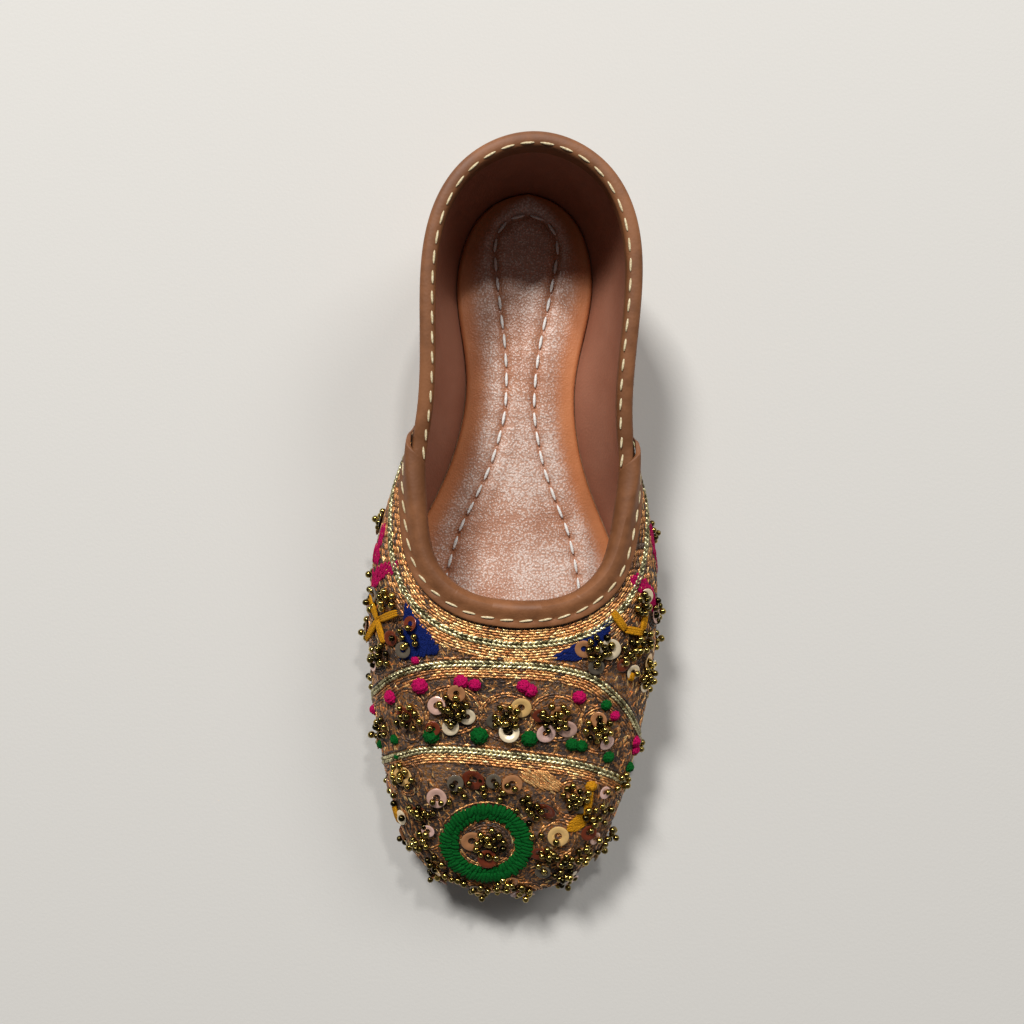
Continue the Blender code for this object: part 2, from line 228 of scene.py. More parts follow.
# One row per section from the heel to the toe. along and top_along are shares of LENGTH,
# half and top_half of half the BALL_WIDTH, tuck of BALL_WIDTH, the rises of COLLAR_HEIGHT.
SECTION_COLUMNS = ("along", "half", "rise", "tuck", "top_along", "top_half", "top_rise")
SECTIONS = (
    (0.000, 0.000, 0.72, 0.024, 0.0010, 0.000, 1.000),
    (0.010, 0.245, 0.72, 0.028, 0.0110, 0.242, 0.999),
    (0.039, 0.465, 0.72, 0.043, 0.0400, 0.460, 0.994),
    (0.083, 0.613, 0.72, 0.060, 0.0835, 0.606, 0.984),
    (0.140, 0.688, 0.70, 0.072, 0.1400, 0.680, 0.966),
    (0.210, 0.698, 0.67, 0.094, 0.2100, 0.690, 0.935),
    (0.290, 0.684, 0.61, 0.118, 0.2900, 0.676, 0.880),
    (0.350, 0.700, 0.57, 0.112, 0.3500, 0.688, 0.826),
    (0.402, 0.760, 0.53, 0.104, 0.4020, 0.716, 0.792),
    (0.456, 0.862, 0.46, 0.096, 0.4540, 0.694, 0.779),
    (0.515, 0.952, 0.37, 0.078, 0.5090, 0.648, 0.775),
    (0.580, 0.996, 0.30, 0.060, 0.5450, 0.580, 0.780),
    (0.655, 0.997, 0.275, 0.046, 0.5690, 0.470, 0.784),
    (0.740, 0.946, 0.26, 0.042, 0.5830, 0.350, 0.785),
    (0.825, 0.858, 0.25, 0.040, 0.5900, 0.238, 0.785),
    (0.900, 0.745, 0.25, 0.040, 0.5925, 0.150, 0.785),
    (0.956, 0.590, 0.25, 0.040, 0.5935, 0.086, 0.785),
    (0.989, 0.340, 0.25, 0.039, 0.5940, 0.038, 0.785),
    (1.000, 0.000, 0.25, 0.038, 0.5940, 0.000, 0.785),
)


def unit(vectors):
    return vectors / np.maximum(np.linalg.norm(vectors, axis=-1, keepdims=True), TINY)


def loop_spline(knots, values, at):
    """Smooth closed curve through the values at the knots, the last knot closing the loop."""
    gaps = np.diff(knots)
    count = len(gaps)
    here = np.arange(count)
    matrix = np.zeros((count, count))
    matrix[here, here] = 2 * (np.roll(gaps, 1) + gaps)
    matrix[here, here - 1] += np.roll(gaps, 1)
    matrix[here, (here + 1) % count] += gaps
    slopes = (np.roll(values, -1) - values) / gaps
    bends = np.linalg.solve(matrix, 6 * (slopes - np.roll(slopes, 1)))
    index = np.clip(np.searchsorted(knots, at, side="right") - 1, 0, count - 1)
    after = (index + 1) % count
    left = at - knots[index]
    right = gaps[index] - left
    cubic = (bends[index] * right**3 + bends[after] * left**3) / (6 * gaps[index])
    from_left = (values[index] / gaps[index] - bends[index] * gaps[index] / 6) * right
    from_right = (values[after] / gaps[index] - bends[after] * gaps[index] / 6) * left
    return cubic + from_left + from_right


def section_columns():
    """The sections of both sides as closed columns in metres, with their knots from 0 to 1."""
    right = {name: [row[i] for row in SECTIONS] for i, name in enumerate(SECTION_COLUMNS)}
    column = {}
    for name, values in right.items():
        side = -1 if name in ("half", "top_half") else 1
        column[name] = np.array(values + [side * value for value in values[-2:0:-1]])
        column[name] *= {"half": BALL_WIDTH / 2, "rise": COLLAR_HEIGHT}.get(name[-4:], 1)
    for name in ("along", "top_along"):
        column[name] = (0.5 - column[name]) * LENGTH
    column["tuck"] *= BALL_WIDTH
    steps_x = np.roll(column["half"], -1) - column["half"]
    steps_y = np.roll(column["along"], -1) - column["along"]
    knots = np.concatenate([[0], np.cumsum(np.hypot(steps_x, steps_y))])
    return column, knots / knots[-1]


COLUMN, KNOTS = section_columns()


def at_turn(name, turn):
    """A column of the section table at a share of the way around the shoe, from the heel."""
    return loop_spline(KNOTS, COLUMN[name], np.mod(turn, 1.0))


def ease(share):
    share = np.clip(share, 0, 1)
    return share * share * (3 - 2 * share)


def sole_underside(y):
    """Height of the underside of the outsole: heel seat, shank, flat tread, toe spring."""
    along = 0.5 - y / LENGTH
    shank = ease((along - SHANK_START) / (SHANK_END - SHANK_START))
    toe = np.clip((along - TREAD_END) / (1 - TREAD_END), 0, None)
    return (HEEL_LIFT + GAP) * (1 - shank) + TOE_SPRING * toe**2


def seat_height(y):
    return sole_underside(y) + OUTSOLE_THICKNESS + GAP


def wide_line(turn):
    return np.stack([at_turn("half", turn), at_turn("along", turn)], axis=-1)


def seat_line(turn, out=0.0):
    """The line where the wall of the upper meets the sole, moved outward by out."""
    run = unit(wide_line(turn + STEP) - wide_line(turn - STEP))
    outward = np.stack([-run[..., 1], run[..., 0]], axis=-1)
    return wide_line(turn) + outward * (out - at_turn("tuck", turn))[..., None]


def wall_point(turn, climb):
    wide = wide_line(turn)
    seat = seat_line(turn)
    plan = seat + (wide - seat) * (1 - (1 - climb) ** WALL_SWELL)[..., None]
    foot = seat_height(plan[..., 1])
    return plan, foot + (at_turn("rise", turn) - foot) * climb


def crown_point(turn, share):
    """The section bends over as part of a superellipse, then runs straight to the top edge."""
    wide = wide_line(turn)
    rise = at_turn("rise", turn)
    top = np.stack([at_turn("top_half", turn), at_turn("top_along", turn)], axis=-1)
    reach = np.linalg.norm(top - wide, axis=-1)
    front = np.clip(reach / (LENGTH * (1 - THROAT_ALONG)), 0, 1)
    fullness = SIDE_FULLNESS + (TOE_FULLNESS - SIDE_FULLNESS) * front
    rounding = SIDE_ROUNDING + (TOE_ROUNDING - SIDE_ROUNDING) * front
    run_on = np.clip(reach - rounding, 0, None)
    bend_end = 1 - RUN_ON_ROWS * run_on / reach
    sweep = np.arccos((1 - np.clip(reach / rounding, 0, 1)) ** (fullness / 2))
    angle = sweep * np.clip(share / bend_end, 0, 1)
    bent = (1 - np.cos(angle) ** (2 / fullness)) * rounding
    straight = run_on * np.clip((share - bend_end) / np.maximum(1 - bend_end, TINY), 0, 1)
    plan = wide + (top - wide) * ((bent + straight) / reach)[..., None]
    ceiling = at_turn("top_rise", turn) - VAMP_SLOPE * (top[..., 1] - plan[..., 1])
    lift = (np.sin(angle) / np.sin(sweep)) ** (2 / fullness)
    return plan, rise + (ceiling - rise) * lift


def skin(turn, climb):
    """A point of the outside of the last: climb 0 at the sole, 1 at the fullest line, 2 on top."""
    turn, climb = np.broadcast_arrays(np.asarray(turn, float), np.asarray(climb, float))
    wall_plan, wall_height = wall_point(turn, np.clip(climb, 0, 1))
    crown_plan, crown_height = crown_point(turn, np.clip(climb - 1, 0, 1))
    on_crown = climb > 1
    plan = np.where(on_crown[..., None], crown_plan, wall_plan)
    height = np.where(on_crown, crown_height, wall_height)
    return np.concatenate([plan, height[..., None]], axis=-1)


def skin_axes(turn, climb):
    """Unit directions on the skin: up it, along it, and out of it."""
    low, high = np.clip(climb - STEP, 0, 2), np.clip(climb + STEP, 0, 2)
    upward = unit(skin(turn, high) - skin(turn, low))
    run = unit(skin(turn + STEP, climb) - skin(turn - STEP, climb))
    normal = np.cross(upward, run)
    normal[..., 2] = np.where(climb <= 0, 0, normal[..., 2])
    return upward, run, unit(normal)


def pushed(turn, climb, out, above=0.0):
    """The skin moved out along its normal, and past the top edge by above."""
    turn, climb, out, above = np.broadcast_arrays(turn, climb, out, above)
    upward, _, normal = skin_axes(turn, climb)
    points = skin(turn, climb) + normal * out[..., None] + upward * above[..., None]
    points[..., 2] = np.where(climb <= 0, seat_height(points[..., 1]), points[..., 2])
    return points


# Finely spaced ladder down the skin at every turn, so that a place can be named by its
# depth below the top edge.
LADDER_TURNS = 721
LADDER_ROWS = 161
ladder_turns = np.linspace(0, 1, LADDER_TURNS)
ladder_climbs = np.linspace(2, 0, LADDER_ROWS)
ladder_points = skin(ladder_turns[:, None], ladder_climbs[None, :])
ladder_steps = np.linalg.norm(np.diff(ladder_points, axis=1), axis=2)
ladder_depths = np.concatenate(
    [np.zeros((LADDER_TURNS, 1)), np.cumsum(ladder_steps, axis=1)], axis=1
)


def climb_at_depth(turn, depth):
    """The climb that lies this far below the top edge, measured down the skin."""
    turn, depth = np.broadcast_arrays(np.asarray(turn, float), np.asarray(depth, float))
    flat = np.empty(turn.size)
    for i, (one_turn, one_depth) in enumerate(zip(np.mod(turn, 1.0).ravel(), depth.ravel())):
        place = one_turn * (LADDER_TURNS - 1)
        low = min(int(place), LADDER_TURNS - 2)
        share = place - low
        row = ladder_depths[low] * (1 - share) + ladder_depths[low + 1] * share
        flat[i] = np.interp(one_depth, row, ladder_climbs)
    return flat.reshape(turn.shape)


def top_share(turn):
    """How far the top edge lies from the heel at this turn, as a share of LENGTH."""
    return 0.5 - at_turn("top_along", turn) / LENGTH


def turn_at_top(along):
    turns = np.linspace(0, 0.5, 2000)
    return float(np.interp(along, top_share(turns), turns))


def put(name, points, faces, finish, smooth=40.0):
    """A new piece that rides with the shoe, shaded smooth where its faces nearly line up."""
    mesh = bpy.data.meshes.new(name)
    mesh.from_pydata(np.asarray(points).reshape(-1, 3).tolist(), [], faces)
    mesh.shade_smooth()
    mesh.set_sharp_from_angle(angle=math.radians(smooth))
    mesh.materials.append(finish.material)
    piece = bpy.data.objects.new(name, mesh)
    bpy.context.scene.collection.objects.link(piece)
    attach(piece, "root")
    return piece


def number(piece, name, values):
    """Keeps one number per point of the piece for its finish to read."""
    attribute = piece.data.attributes.new(name, "FLOAT", "POINT")
    attribute.data.foreach_set("value", np.asarray(values, np.float32).ravel())


def grid_faces(rows, columns, closed):
    """Quads of a grid of points, its rows joined into a loop if closed."""
    faces = []
    for i in range(rows if closed else rows - 1):
        for j in range(columns):
            here, there = i * columns, (i + 1) % rows * columns
            after = (j + 1) % columns
            faces.append((here + j, here + after, there + after, there + j))
    return faces


AROUND = 420
WALL_ROWS = 14
CROWN_ROWS = 26
# Soft creases where the foot bends the leather: turn, climb, spread round, spread up, depth
CREASES = (
    (0.185, 1.25, 0.012, 0.55, 0.0007),
    (0.215, 1.00, 0.010, 0.50, -0.0005),
    (0.120, 0.95, 0.020, 0.30, 0.0006),
    (0.040, 0.60, 0.030, 0.20, 0.0005),
    (0.835, 1.15, 0.014, 0.50, 0.0006),
    (0.800, 0.90, 0.010, 0.45, -0.0005),
    (0.900, 0.80, 0.022, 0.30, 0.0006),
    (0.965, 0.70, 0.025, 0.22, 0.0004),
)


def crease_depth(turn, climb):
    sunk = np.zeros(np.broadcast(turn, climb).shape)
    for at, up, wide, tall, deep in CREASES:
        away = np.mod(turn - at + 0.5, 1.0) - 0.5
        sunk += deep * np.exp(-((away / wide) ** 2) - ((climb - up) / tall) ** 2)
    return sunk


upper_finish = Finish("upper_leather", Coat_Weight=0.05, Coat_Roughness=0.3)
place = upper_finish.place
inside = upper_finish.kept("inside")
mottle = place.noise(38.0, 4.0).step(0.3, 0.75)
fine = place.noise(420.0, 2.0)
outer_tan = mottle.blend((0.205, 0.080, 0.030), (0.300, 0.125, 0.052))
lining = mottle.blend((0.295, 0.112, 0.064), (0.370, 0.158, 0.096))
upper_finish.feed("Base Color", inside.blend(outer_tan, lining))
upper_finish.feed("Roughness", fine * 0.16 + 0.38)
grain = place.cells(1300.0, "SMOOTH_F1") * 0.7 + place.noise(700.0, 3.0) * 0.5
upper_finish.bump(grain, 0.00018, 0.55)

turns = np.arange(AROUND) / AROUND
climbs = np.concatenate(
    [np.linspace(0, 1, WALL_ROWS + 1), np.linspace(1, 2, CROWN_ROWS + 1)[1:]]
)
sunk = crease_depth(turns[:, None], climbs[None, :])
outer_face = pushed(turns[:, None], climbs[None, :], -sunk)
inner_face = pushed(turns[:, None], climbs[None, ::-1], -UPPER_WALL - sunk[:, ::-1])
shell = np.concatenate([outer_face, inner_face], axis=1)
upper = put("leather_upper", shell, grid_faces(*shell.shape[:2], True), upper_finish)
number(upper, "inside", np.tile(np.arange(shell.shape[1]) >= len(climbs), AROUND))
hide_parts("upper")

# Sock lining: a padded leather sock glued in over the sole. Its middle is pebbled glossy
# tan leather with a pearly bloom and painted sheen and highlights on it, sewn down along a
# keyhole line that puckers it, and its margin is smoother and more orange.
INSOLE_EDGE_THICKNESS = 0.0016
INSOLE_PADDING = 0.0010
INSOLE_ROWS = 240
INSOLE_COLUMNS = 96
TIP_TRIM = 0.003
MARGIN = 0.0052
FURROW = 0.00075
FURROW_HALF_WIDTH = 0.0013
RIDGE = 0.0005
RIDGE_PLACE = 0.0036
RIDGE_HALF_WIDTH = 0.0026
PUCKER = 0.00022
PUCKER_REACH = 0.0032
EDGE_ROLL = 0.0012
LOOP_CENTRE = 0.0965
LOOP_RADIUS = 0.0107
LOOP_FLATTENING = 0.92
SOCK_STITCH_STEP = 0.0066
# Sewn line of the sock: place along the shoe and half width, in millimetres
SOCK_LINE = (
    (108.2, 0.6), (107.2, 4.6), (104.0, 8.4), (97.5, 10.6), (91.0, 10.2), (84.0, 9.2),
    (75.0, 7.8), (63.0, 5.9), (50.0, 4.9), (40.0, 5.2), (33.0, 6.5), (22.0, 9.5), (15.5, 12.1),
    (9.0, 14.9), (2.5, 17.9), (-6.0, 20.6), (-24.0, 24.0), (-60.0, 24.0),
)


def tube_faces(rings):
    """Quads between closed rings in a row, with one flat face over each end."""
    count, around = rings.shape[:2]
    faces = grid_faces(count, around, False)
    faces.append(tuple(range(around - 1, -1, -1)))
    faces.append(tuple(range((count - 1) * around, count * around)))
    return faces


def oval(around, rings):
    """Points and faces of a ball of diameter one, its poles on the X axis."""
    points = [(-0.5, 0, 0)]
    for i in range(1, rings):
        lean = math.pi * i / rings
        for j in range(around):
            spin = math.tau * j / around
            radius = 0.5 * math.sin(lean)
            points.append((-0.5 * math.cos(lean), radius * math.cos(spin), radius * math.sin(spin)))
    points.append((0.5, 0, 0))
    last = len(points) - 1
    faces = []
    for j in range(around):
        after = (j + 1) % around
        faces.append((0, 1 + after, 1 + j))
        for i in range(rings - 2):
            here = 1 + i * around
            faces.append((here + j, here + after, here + around + after, here + around + j))
        faces.append((last - around + j, last - around + after, last))
    return np.array(points), [face[::-1] for face in faces]


class Pile:
    """Many copies of one small form, gathered row by row and joined into one mesh."""

    def __init__(self):
        self.rows = []

    def add(self, at, along, normal, size, shade):
        """at, along and normal are arrays of vectors, size is (long, wide, high)."""
        at = np.atleast_2d(at)
        along, normal = np.broadcast_to(along, at.shape), np.broadcast_to(normal, at.shape)
        size = np.broadcast_to(size, at.shape)
        shade = np.broadcast_to(shade, len(at))
        self.rows.append(np.concatenate([at, along, normal, size, shade[:, None]], axis=1))

    def make(self, name, form, finish):
        points, faces = form
        rows = np.concatenate(self.rows)
        at, along, normal = rows[:, :3], rows[:, 3:6], unit(rows[:, 6:9])
        along = unit(along - normal * (along * normal).sum(axis=1, keepdims=True))
        across = np.cross(normal, along)
        axes = np.stack([along, across, normal], axis=1)
        scaled = points[None, :, :] * rows[:, None, 9:12]
        placed = at[:, None, :] + np.einsum("nki,nij->nkj", scaled, axes)
        count = len(points)
        all_faces = [
            tuple(i * count + corner for corner in face) for i in range(len(rows)) for face in faces
        ]
        piece = put(name, placed, all_faces, finish, 60.0)
        number(piece, "shade", np.repeat(rows[:, 12], count))
        return piece


def lengths_along(points):
    return np.concatenate([[0], np.cumsum(np.linalg.norm(np.diff(points, axis=0), axis=1))])


def resample(points, step, closed=False):
    """Places a step apart along a line of points, with the direction at each."""
    points = np.asarray(points, float)
    if closed:
        points = np.concatenate([points, points[:1]])
    lengths = lengths_along(points)
    count = max(2, int(round(lengths[-1] / step)))
    at = (np.arange(count) + 0.5) * lengths[-1] / count
    here, ahead, behind = (
        np.stack([np.interp(at + shift, lengths, points[:, k]) for k in range(3)], axis=1)
        for shift in (0, step * 0.35, -step * 0.35)
    )
    return here, unit(ahead - behind)


def smooth_line(points, count=160):
    """A curve through points given in any number of columns, by chord-length cubics."""
    points = np.asarray(points, float)
    lengths = lengths_along(points)
    slopes = np.gradient(points, lengths, axis=0)
    at = np.linspace(0, lengths[-1], count)
    index = np.clip(np.searchsorted(lengths, at, side="right") - 1, 0, len(points) - 2)
    gap = (lengths[index + 1] - lengths[index])[:, None]
    share = (at[:, None] - lengths[index][:, None]) / gap
    rise = ease(share)
    start = share * (1 - share) ** 2 * gap
    end = share * share * (share - 1) * gap
    ends = points[index] * (1 - rise) + points[index + 1] * rise
    return ends + slopes[index] * start + slopes[index + 1] * end


sock_line = smooth_line(SOCK_LINE, 400) / 1000
sock_along = sock_line[::-1, 0]
sock_half = sock_line[::-1, 1]


def sewn_distance(x, y):
    """Distance from the sewn line of the sock, close to the line."""
    beside = np.abs(np.abs(x) - np.interp(y, sock_along, sock_half))
    loop = np.abs(np.hypot(x, (y - LOOP_CENTRE) * LOOP_FLATTENING) - LOOP_RADIUS)
    return np.where(y > LOOP_CENTRE + 0.001, loop, beside)


half_turns = np.linspace(TIP_TRIM, 0.5 - TIP_TRIM, INSOLE_ROWS)
sock_edge = seat_line(half_turns, -(UPPER_WALL + GAP))
shares = np.linspace(-1, 1, INSOLE_COLUMNS)
x = sock_edge[:, :1] * shares
y = np.repeat(sock_edge[:, 1:], INSOLE_COLUMNS, axis=1)
share = np.broadcast_to(shares, x.shape)
low = seat_height(y)
apart = sewn_distance(x, y)
furrow = np.exp(-((apart / FURROW_HALF_WIDTH) ** 2))
ripple = np.sin(y * math.tau / SOCK_STITCH_STEP) * np.exp(-apart / PUCKER_REACH)
pad = 1 - share**2
from_edge = (1 - np.abs(share)) * sock_edge[:, :1]
roll = 1 - np.clip(1 - from_edge / EDGE_ROLL, 0, 1) ** 2
high = low + INSOLE_EDGE_THICKNESS * (0.45 + 0.55 * roll) + INSOLE_PADDING * pad
high += RIDGE * np.exp(-((apart - RIDGE_PLACE) / RIDGE_HALF_WIDTH) ** 2) - FURROW * furrow
high += PUCKER * ripple
rings = np.concatenate(
    [np.stack([x, y, low], axis=-1), np.stack([x, y, high], axis=-1)[:, ::-1]], axis=1
)

sock_finish = Finish("sock_leather", Coat_Roughness=0.16, Specular_IOR_Level=0.6)
place = sock_finish.place
margin = sock_finish.kept("margin")
furrow_shade_mask = sock_finish.kept("furrow")
pebble = place.cells(1500.0, "SMOOTH_F1")
speck = place.noise(3000.0, 2.0, 0.7)
patch = place.noise(75.0, 4.0, 0.6)
sheen = place.noise(42.0, 3.0, 0.55)
# Painted sheen and painted highlights: a whitish veil, partly the leather's pearly bloom and partly
# painted sheen, and white specks that are painted highlights on the pebbles. Both stay off the
# margin and are mostly left out along the sewn furrow, which leaves painted shade in the furrow.
sheen_and_highlight_area = margin * (1.0 - furrow_shade_mask * 0.85)
pearl_sheen_veil = (sheen.step(0.32, 0.66) * 0.42 + 0.34) * sheen_and_highlight_area
lit = speck * 0.9 + patch * 0.35 + sheen * 0.7 - pebble * 1.1
highlight_specks = (lit - 0.42).step(0.0, 0.42) * sheen_and_highlight_area
body_colour = patch.step(0.35, 0.7).blend((0.38, 0.125, 0.046), (0.48, 0.185, 0.080))
pearl_sheen_colour = pearl_sheen_veil.blend(body_colour, (0.64, 0.395, 0.290))
pearl_sheen_and_highlights = (highlight_specks * 0.78).blend(pearl_sheen_colour, (0.90, 0.76, 0.67))
edge_colour = patch.step(0.3, 0.7).blend((0.51, 0.170, 0.058), (0.61, 0.222, 0.082))
sock_finish.feed("Base Color", margin.blend(edge_colour, pearl_sheen_and_highlights))
sock_finish.feed("Roughness", 0.44 - margin * 0.10 + speck * 0.08)
sock_finish.feed("Coat Weight", margin * 0.45 + 0.12)
sock_finish.bump((1.0 - pebble) * (margin * 0.8 + 0.25) + speck * 0.3, 0.0003, 0.8)

sock = put("sock_lining", rings, tube_faces(rings), sock_finish)
top_margin = ease((from_edge - MARGIN * 0.35) / (MARGIN * 1.5))
for name, values in (("margin", top_margin), ("furrow", furrow)):
    number(sock, name, np.concatenate([np.zeros_like(x), values[:, ::-1]], axis=1))
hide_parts("insole")


def thread(name, roughness, dark, light):
    finish = Finish(name, Roughness=roughness)
    twist = finish.place.noise(1600.0, 2.0)
    finish.feed("Base Color", twist.step(0.3, 0.7).blend(dark, light))
    finish.bump(twist, 0.0002)
    return finish


white_finish = thread("white_thread", 0.5, (0.72, 0.68, 0.62), (0.92, 0.90, 0.86))
STITCH_FORM = oval(8, 6)
UP = np.array((0.0, 0.0, 1.0))
SLOPE_REACH = 0.002
sock_stitches = Pile()
loop_points = np.array([(half, along, 0.0) for along, half in SOCK_LINE]) / 1000
loop_line = smooth_line(loop_points, 400)
whole_line = np.concatenate([loop_line[::-1], loop_line * (-1, 1, 1)])
here, ahead = resample(whole_line, SOCK_STITCH_STEP)
sock_top = INSOLE_EDGE_THICKNESS + INSOLE_PADDING * 0.75 + FURROW * 0.08
here[:, 2] = seat_height(here[:, 1]) + sock_top
rise = seat_height(here[:, 1] + SLOPE_REACH) - seat_height(here[:, 1] - SLOPE_REACH)
ahead[:, 2] = ahead[:, 1] * rise / (2 * SLOPE_REACH)
sock_stitches.add(here, ahead, UP, (0.0050, 0.0011, 0.0010), 0.5)
sock_stitches.make("sock_stitches", STITCH_FORM, white_finish)

# Bindings: strips of smooth tan leather folded over the top edge of the quarter and of the
# vamp and sewn through with cream thread. The vamp's strip is rolled plump at the throat
# and ends in a wing on each side, which crosses over the quarter's strip.
TOP_CLIMB = 1.9995
BINDING_EASE = 0.0006
BINDING_THICKNESS = 0.0008
COVER_EASE = 0.0004
COVER_THICKNESS = 0.0009
THROAT_BAND = 0.0062
WING_BAND = 0.0052
COLLAR_BAND = 0.0040
COLLAR_FOLD = 0.0052
THROAT_FOLD = 0.0070
WING_TIP = 0.365
WING_TIP_ROUNDING = 0.010
WING_TIP_DIP = 0.0012
SEAM_INSET = 0.012
COLLAR_END = 0.437
CROSSING_START = 0.384
CROSSING_END = 0.452
BAND_FULL_AFTER = 0.020
LAP = 0.0003
SUNK_ROLL = -0.0003
ROLL = 0.0005
COLLAR_ROLL = 0.0001
RIM_STITCH_ANGLE = math.radians(122)
STRIP_ROWS = 28
EDGE_STITCH = (0.0044, 0.0008, 0.0008)
EDGE_STITCH_STEP = 0.0060
THROAT_STITCH_SHARE = 0.60
STITCH_FURROW = 0.00030
FURROW_REACH = 0.0008
ROLL_REACH = 0.0026
SINK_BEFORE = 0.022
SINK_OVER = 0.024
EDGE_RADIUS = 0.0024
TIP_COVER = 0.0014
BAND_UNCOVERED = 0.0018
LAP_FADE = 0.05
SEAM_END = 6
SEAM_SLANT = 0.10
NO_FURROW = -1.0

thread_finish = thread("cream_thread", 0.65, (0.50, 0.38, 0.20), (0.80, 0.68, 0.44))
binding_finish = Finish("binding_leather", Coat_Roughness=0.5, Coat_Weight=0.03)
place = binding_finish.place
cloud = place.noise(45.0, 4.0)
streak = place.noise(300.0, 3.0)
tone = (cloud * 0.8 + streak * 0.3).step(0.40, 0.72)
binding_finish.feed("Base Color", tone.blend((0.160, 0.056, 0.016), (0.265, 0.100, 0.034)))
binding_finish.feed("Roughness", 0.52 + streak * 0.2)
binding_finish.bump(place.cells(1400.0, "SMOOTH_F1") * 0.5 + place.noise(160.0) * 0.8, 0.0002, 0.5)


def strip_rings(turns, band, inner, outer_low, covered, roll, furrow_at):
    """Closed rings round a strip that climbs the outside, rolls over the edge and goes down
    inside. covered is how much of that way it goes, roll how plump it is over the edge."""
    outer_mid = outer_low + BINDING_THICKNESS / 2
    inner_mid = -(UPPER_WALL + BINDING_EASE + BINDING_THICKNESS / 2)
    middle, radius = (outer_mid + inner_mid) / 2, (outer_mid - inner_mid) / 2
    height = BINDING_EASE + BINDING_THICKNESS / 2 + roll
    roll_length = math.pi * (radius + height) / 2
    whole = (band + roll_length + inner) * covered
    walk = lengths_along(skin(turns, 1.99))
    pucker = 1 + 0.6 * np.cos(walk * math.tau / EDGE_STITCH_STEP)
    rows = {1: [], -1: []}
    for share in 0.5 - 0.5 * np.cos(np.linspace(0, math.pi, STRIP_ROWS)):
        way = whole * share
        angle = np.clip((way - band) / roll_length, 0, 1) * math.pi
        depth = np.clip(band - way, 0, None) + np.clip(way - band - roll_length, 0, None)
        from_end = np.minimum(way, whole - way)
        lip = np.clip(1 - from_end / (BINDING_THICKNESS / 2), 0, 1)
        half_thick = BINDING_THICKNESS / 2 * np.sqrt(1 - lip**2)
        plump = roll * np.exp(-(((way - band) / ROLL_REACH) ** 2))
        sink = STITCH_FURROW * pucker * np.exp(-(((way - furrow_at) / FURROW_REACH) ** 2))
        climb = climb_at_depth(turns, depth)
        for side in (1, -1):
            reach = side * half_thick + (plump - sink if side == 1 else 0)
            out = middle + (radius + reach) * np.cos(angle)
            above = (height + reach) * np.sin(angle)
            rows[side].append(pushed(turns, np.minimum(climb, TOP_CLIMB), out, above))
    return np.stack(rows[1] + rows[-1][-2:0:-1], axis=1)


def strip(name, rings, cad_node):
    piece = put(name, rings, tube_faces(rings), binding_finish)
    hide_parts(cad_node)


collar_turn = turn_at_top(COLLAR_END)
turns = np.linspace(-collar_turn, collar_turn, 300)
# The quarter's strip lies flatter where the wings cross over it
sinking = ease((top_share(turns) - CROSSING_START + SINK_BEFORE) / SINK_OVER)
roll = COLLAR_ROLL + (SUNK_ROLL - COLLAR_ROLL) * sinking
band = np.full_like(roll, COLLAR_BAND)
rings = strip_rings(turns, band, COLLAR_FOLD, BINDING_EASE, 1.0, roll, NO_FURROW)
strip("collar_strip", rings, "collar_binding")

edge_stitches = Pile()
fold = BINDING_EASE + BINDING_THICKNESS
edge_climb = np.full(len(turns), TOP_CLIMB)
rim_out = -UPPER_WALL / 2 + (UPPER_WALL / 2 + fold) * math.cos(RIM_STITCH_ANGLE)
rim = pushed(turns, edge_climb, rim_out, (fold + roll) * math.sin(RIM_STITCH_ANGLE))
here, ahead = resample(rim, EDGE_STITCH_STEP)
up, _, out = skin_axes(turns, edge_climb)
steps = np.linspace(0, len(turns) - 1, len(here)).round().astype(int)
facing = (out * math.cos(RIM_STITCH_ANGLE) + up * math.sin(RIM_STITCH_ANGLE))[steps]
edge_stitches.add(here, ahead, facing, EDGE_STITCH, 0.5)

tip_turn = turn_at_top(WING_TIP)
turns = np.linspace(tip_turn, 1 - tip_turn, 420)
along = top_share(turns)
wing_length = COLLAR_END + BAND_FULL_AFTER - WING_TIP
band = WING_BAND + (THROAT_BAND - WING_BAND) * ease((along - WING_TIP) / wing_length)
tip_share = np.clip((along - WING_TIP) / WING_TIP_ROUNDING, 0.0004, 1)
band *= 0.85 + 0.15 * np.sqrt(1 - (1 - tip_share) ** 2)
band_low = COVER_EASE + COVER_THICKNESS + BINDING_EASE
crossed = np.clip((along - CROSSING_START) / (CROSSING_END - CROSSING_START), 0, 1)
# The upper edge of each wing climbs from under the rim to the top, then crosses inside
climbing = np.clip((along - WING_TIP) / (CROSSING_START - WING_TIP), 0, 1)
whole_way = band + math.pi * EDGE_RADIUS + THROAT_FOLD
outside_only = (TIP_COVER + (band - BAND_UNCOVERED) * climbing) / whole_way
covered = outside_only + (1 - outside_only) * crossed
furrow_at = band * (1 - THROAT_STITCH_SHARE)
tip_dip = WING_TIP_DIP * (1 - ease((along - WING_TIP) / SEAM_INSET))
roll = ROLL + LAP * (1 - ease((along - COLLAR_END) / LAP_FADE))
rings = strip_rings(turns, band, THROAT_FOLD, band_low - tip_dip, covered, roll, furrow_at)
strip("throat_strip", rings, "throat_binding")

seam_out = band_low + BINDING_THICKNESS - STITCH_FURROW * 0.3
seam_climbs = climb_at_depth(turns, band * THROAT_STITCH_SHARE)
seam = pushed(turns, seam_climbs, seam_out)[SEAM_END:-SEAM_END]
here, ahead = resample(seam, EDGE_STITCH_STEP)
normals = skin_axes(turns, seam_climbs)[2][SEAM_END:-SEAM_END]
facing = normals[np.linspace(0, len(seam) - 1, len(here)).round().astype(int)]
slanted = ahead + np.cross(facing, ahead) * SEAM_SLANT
edge_stitches.add(here, slanted, facing, EDGE_STITCH, 0.5)
edge_stitches.make("edge_stitches", STITCH_FORM, thread_finish)

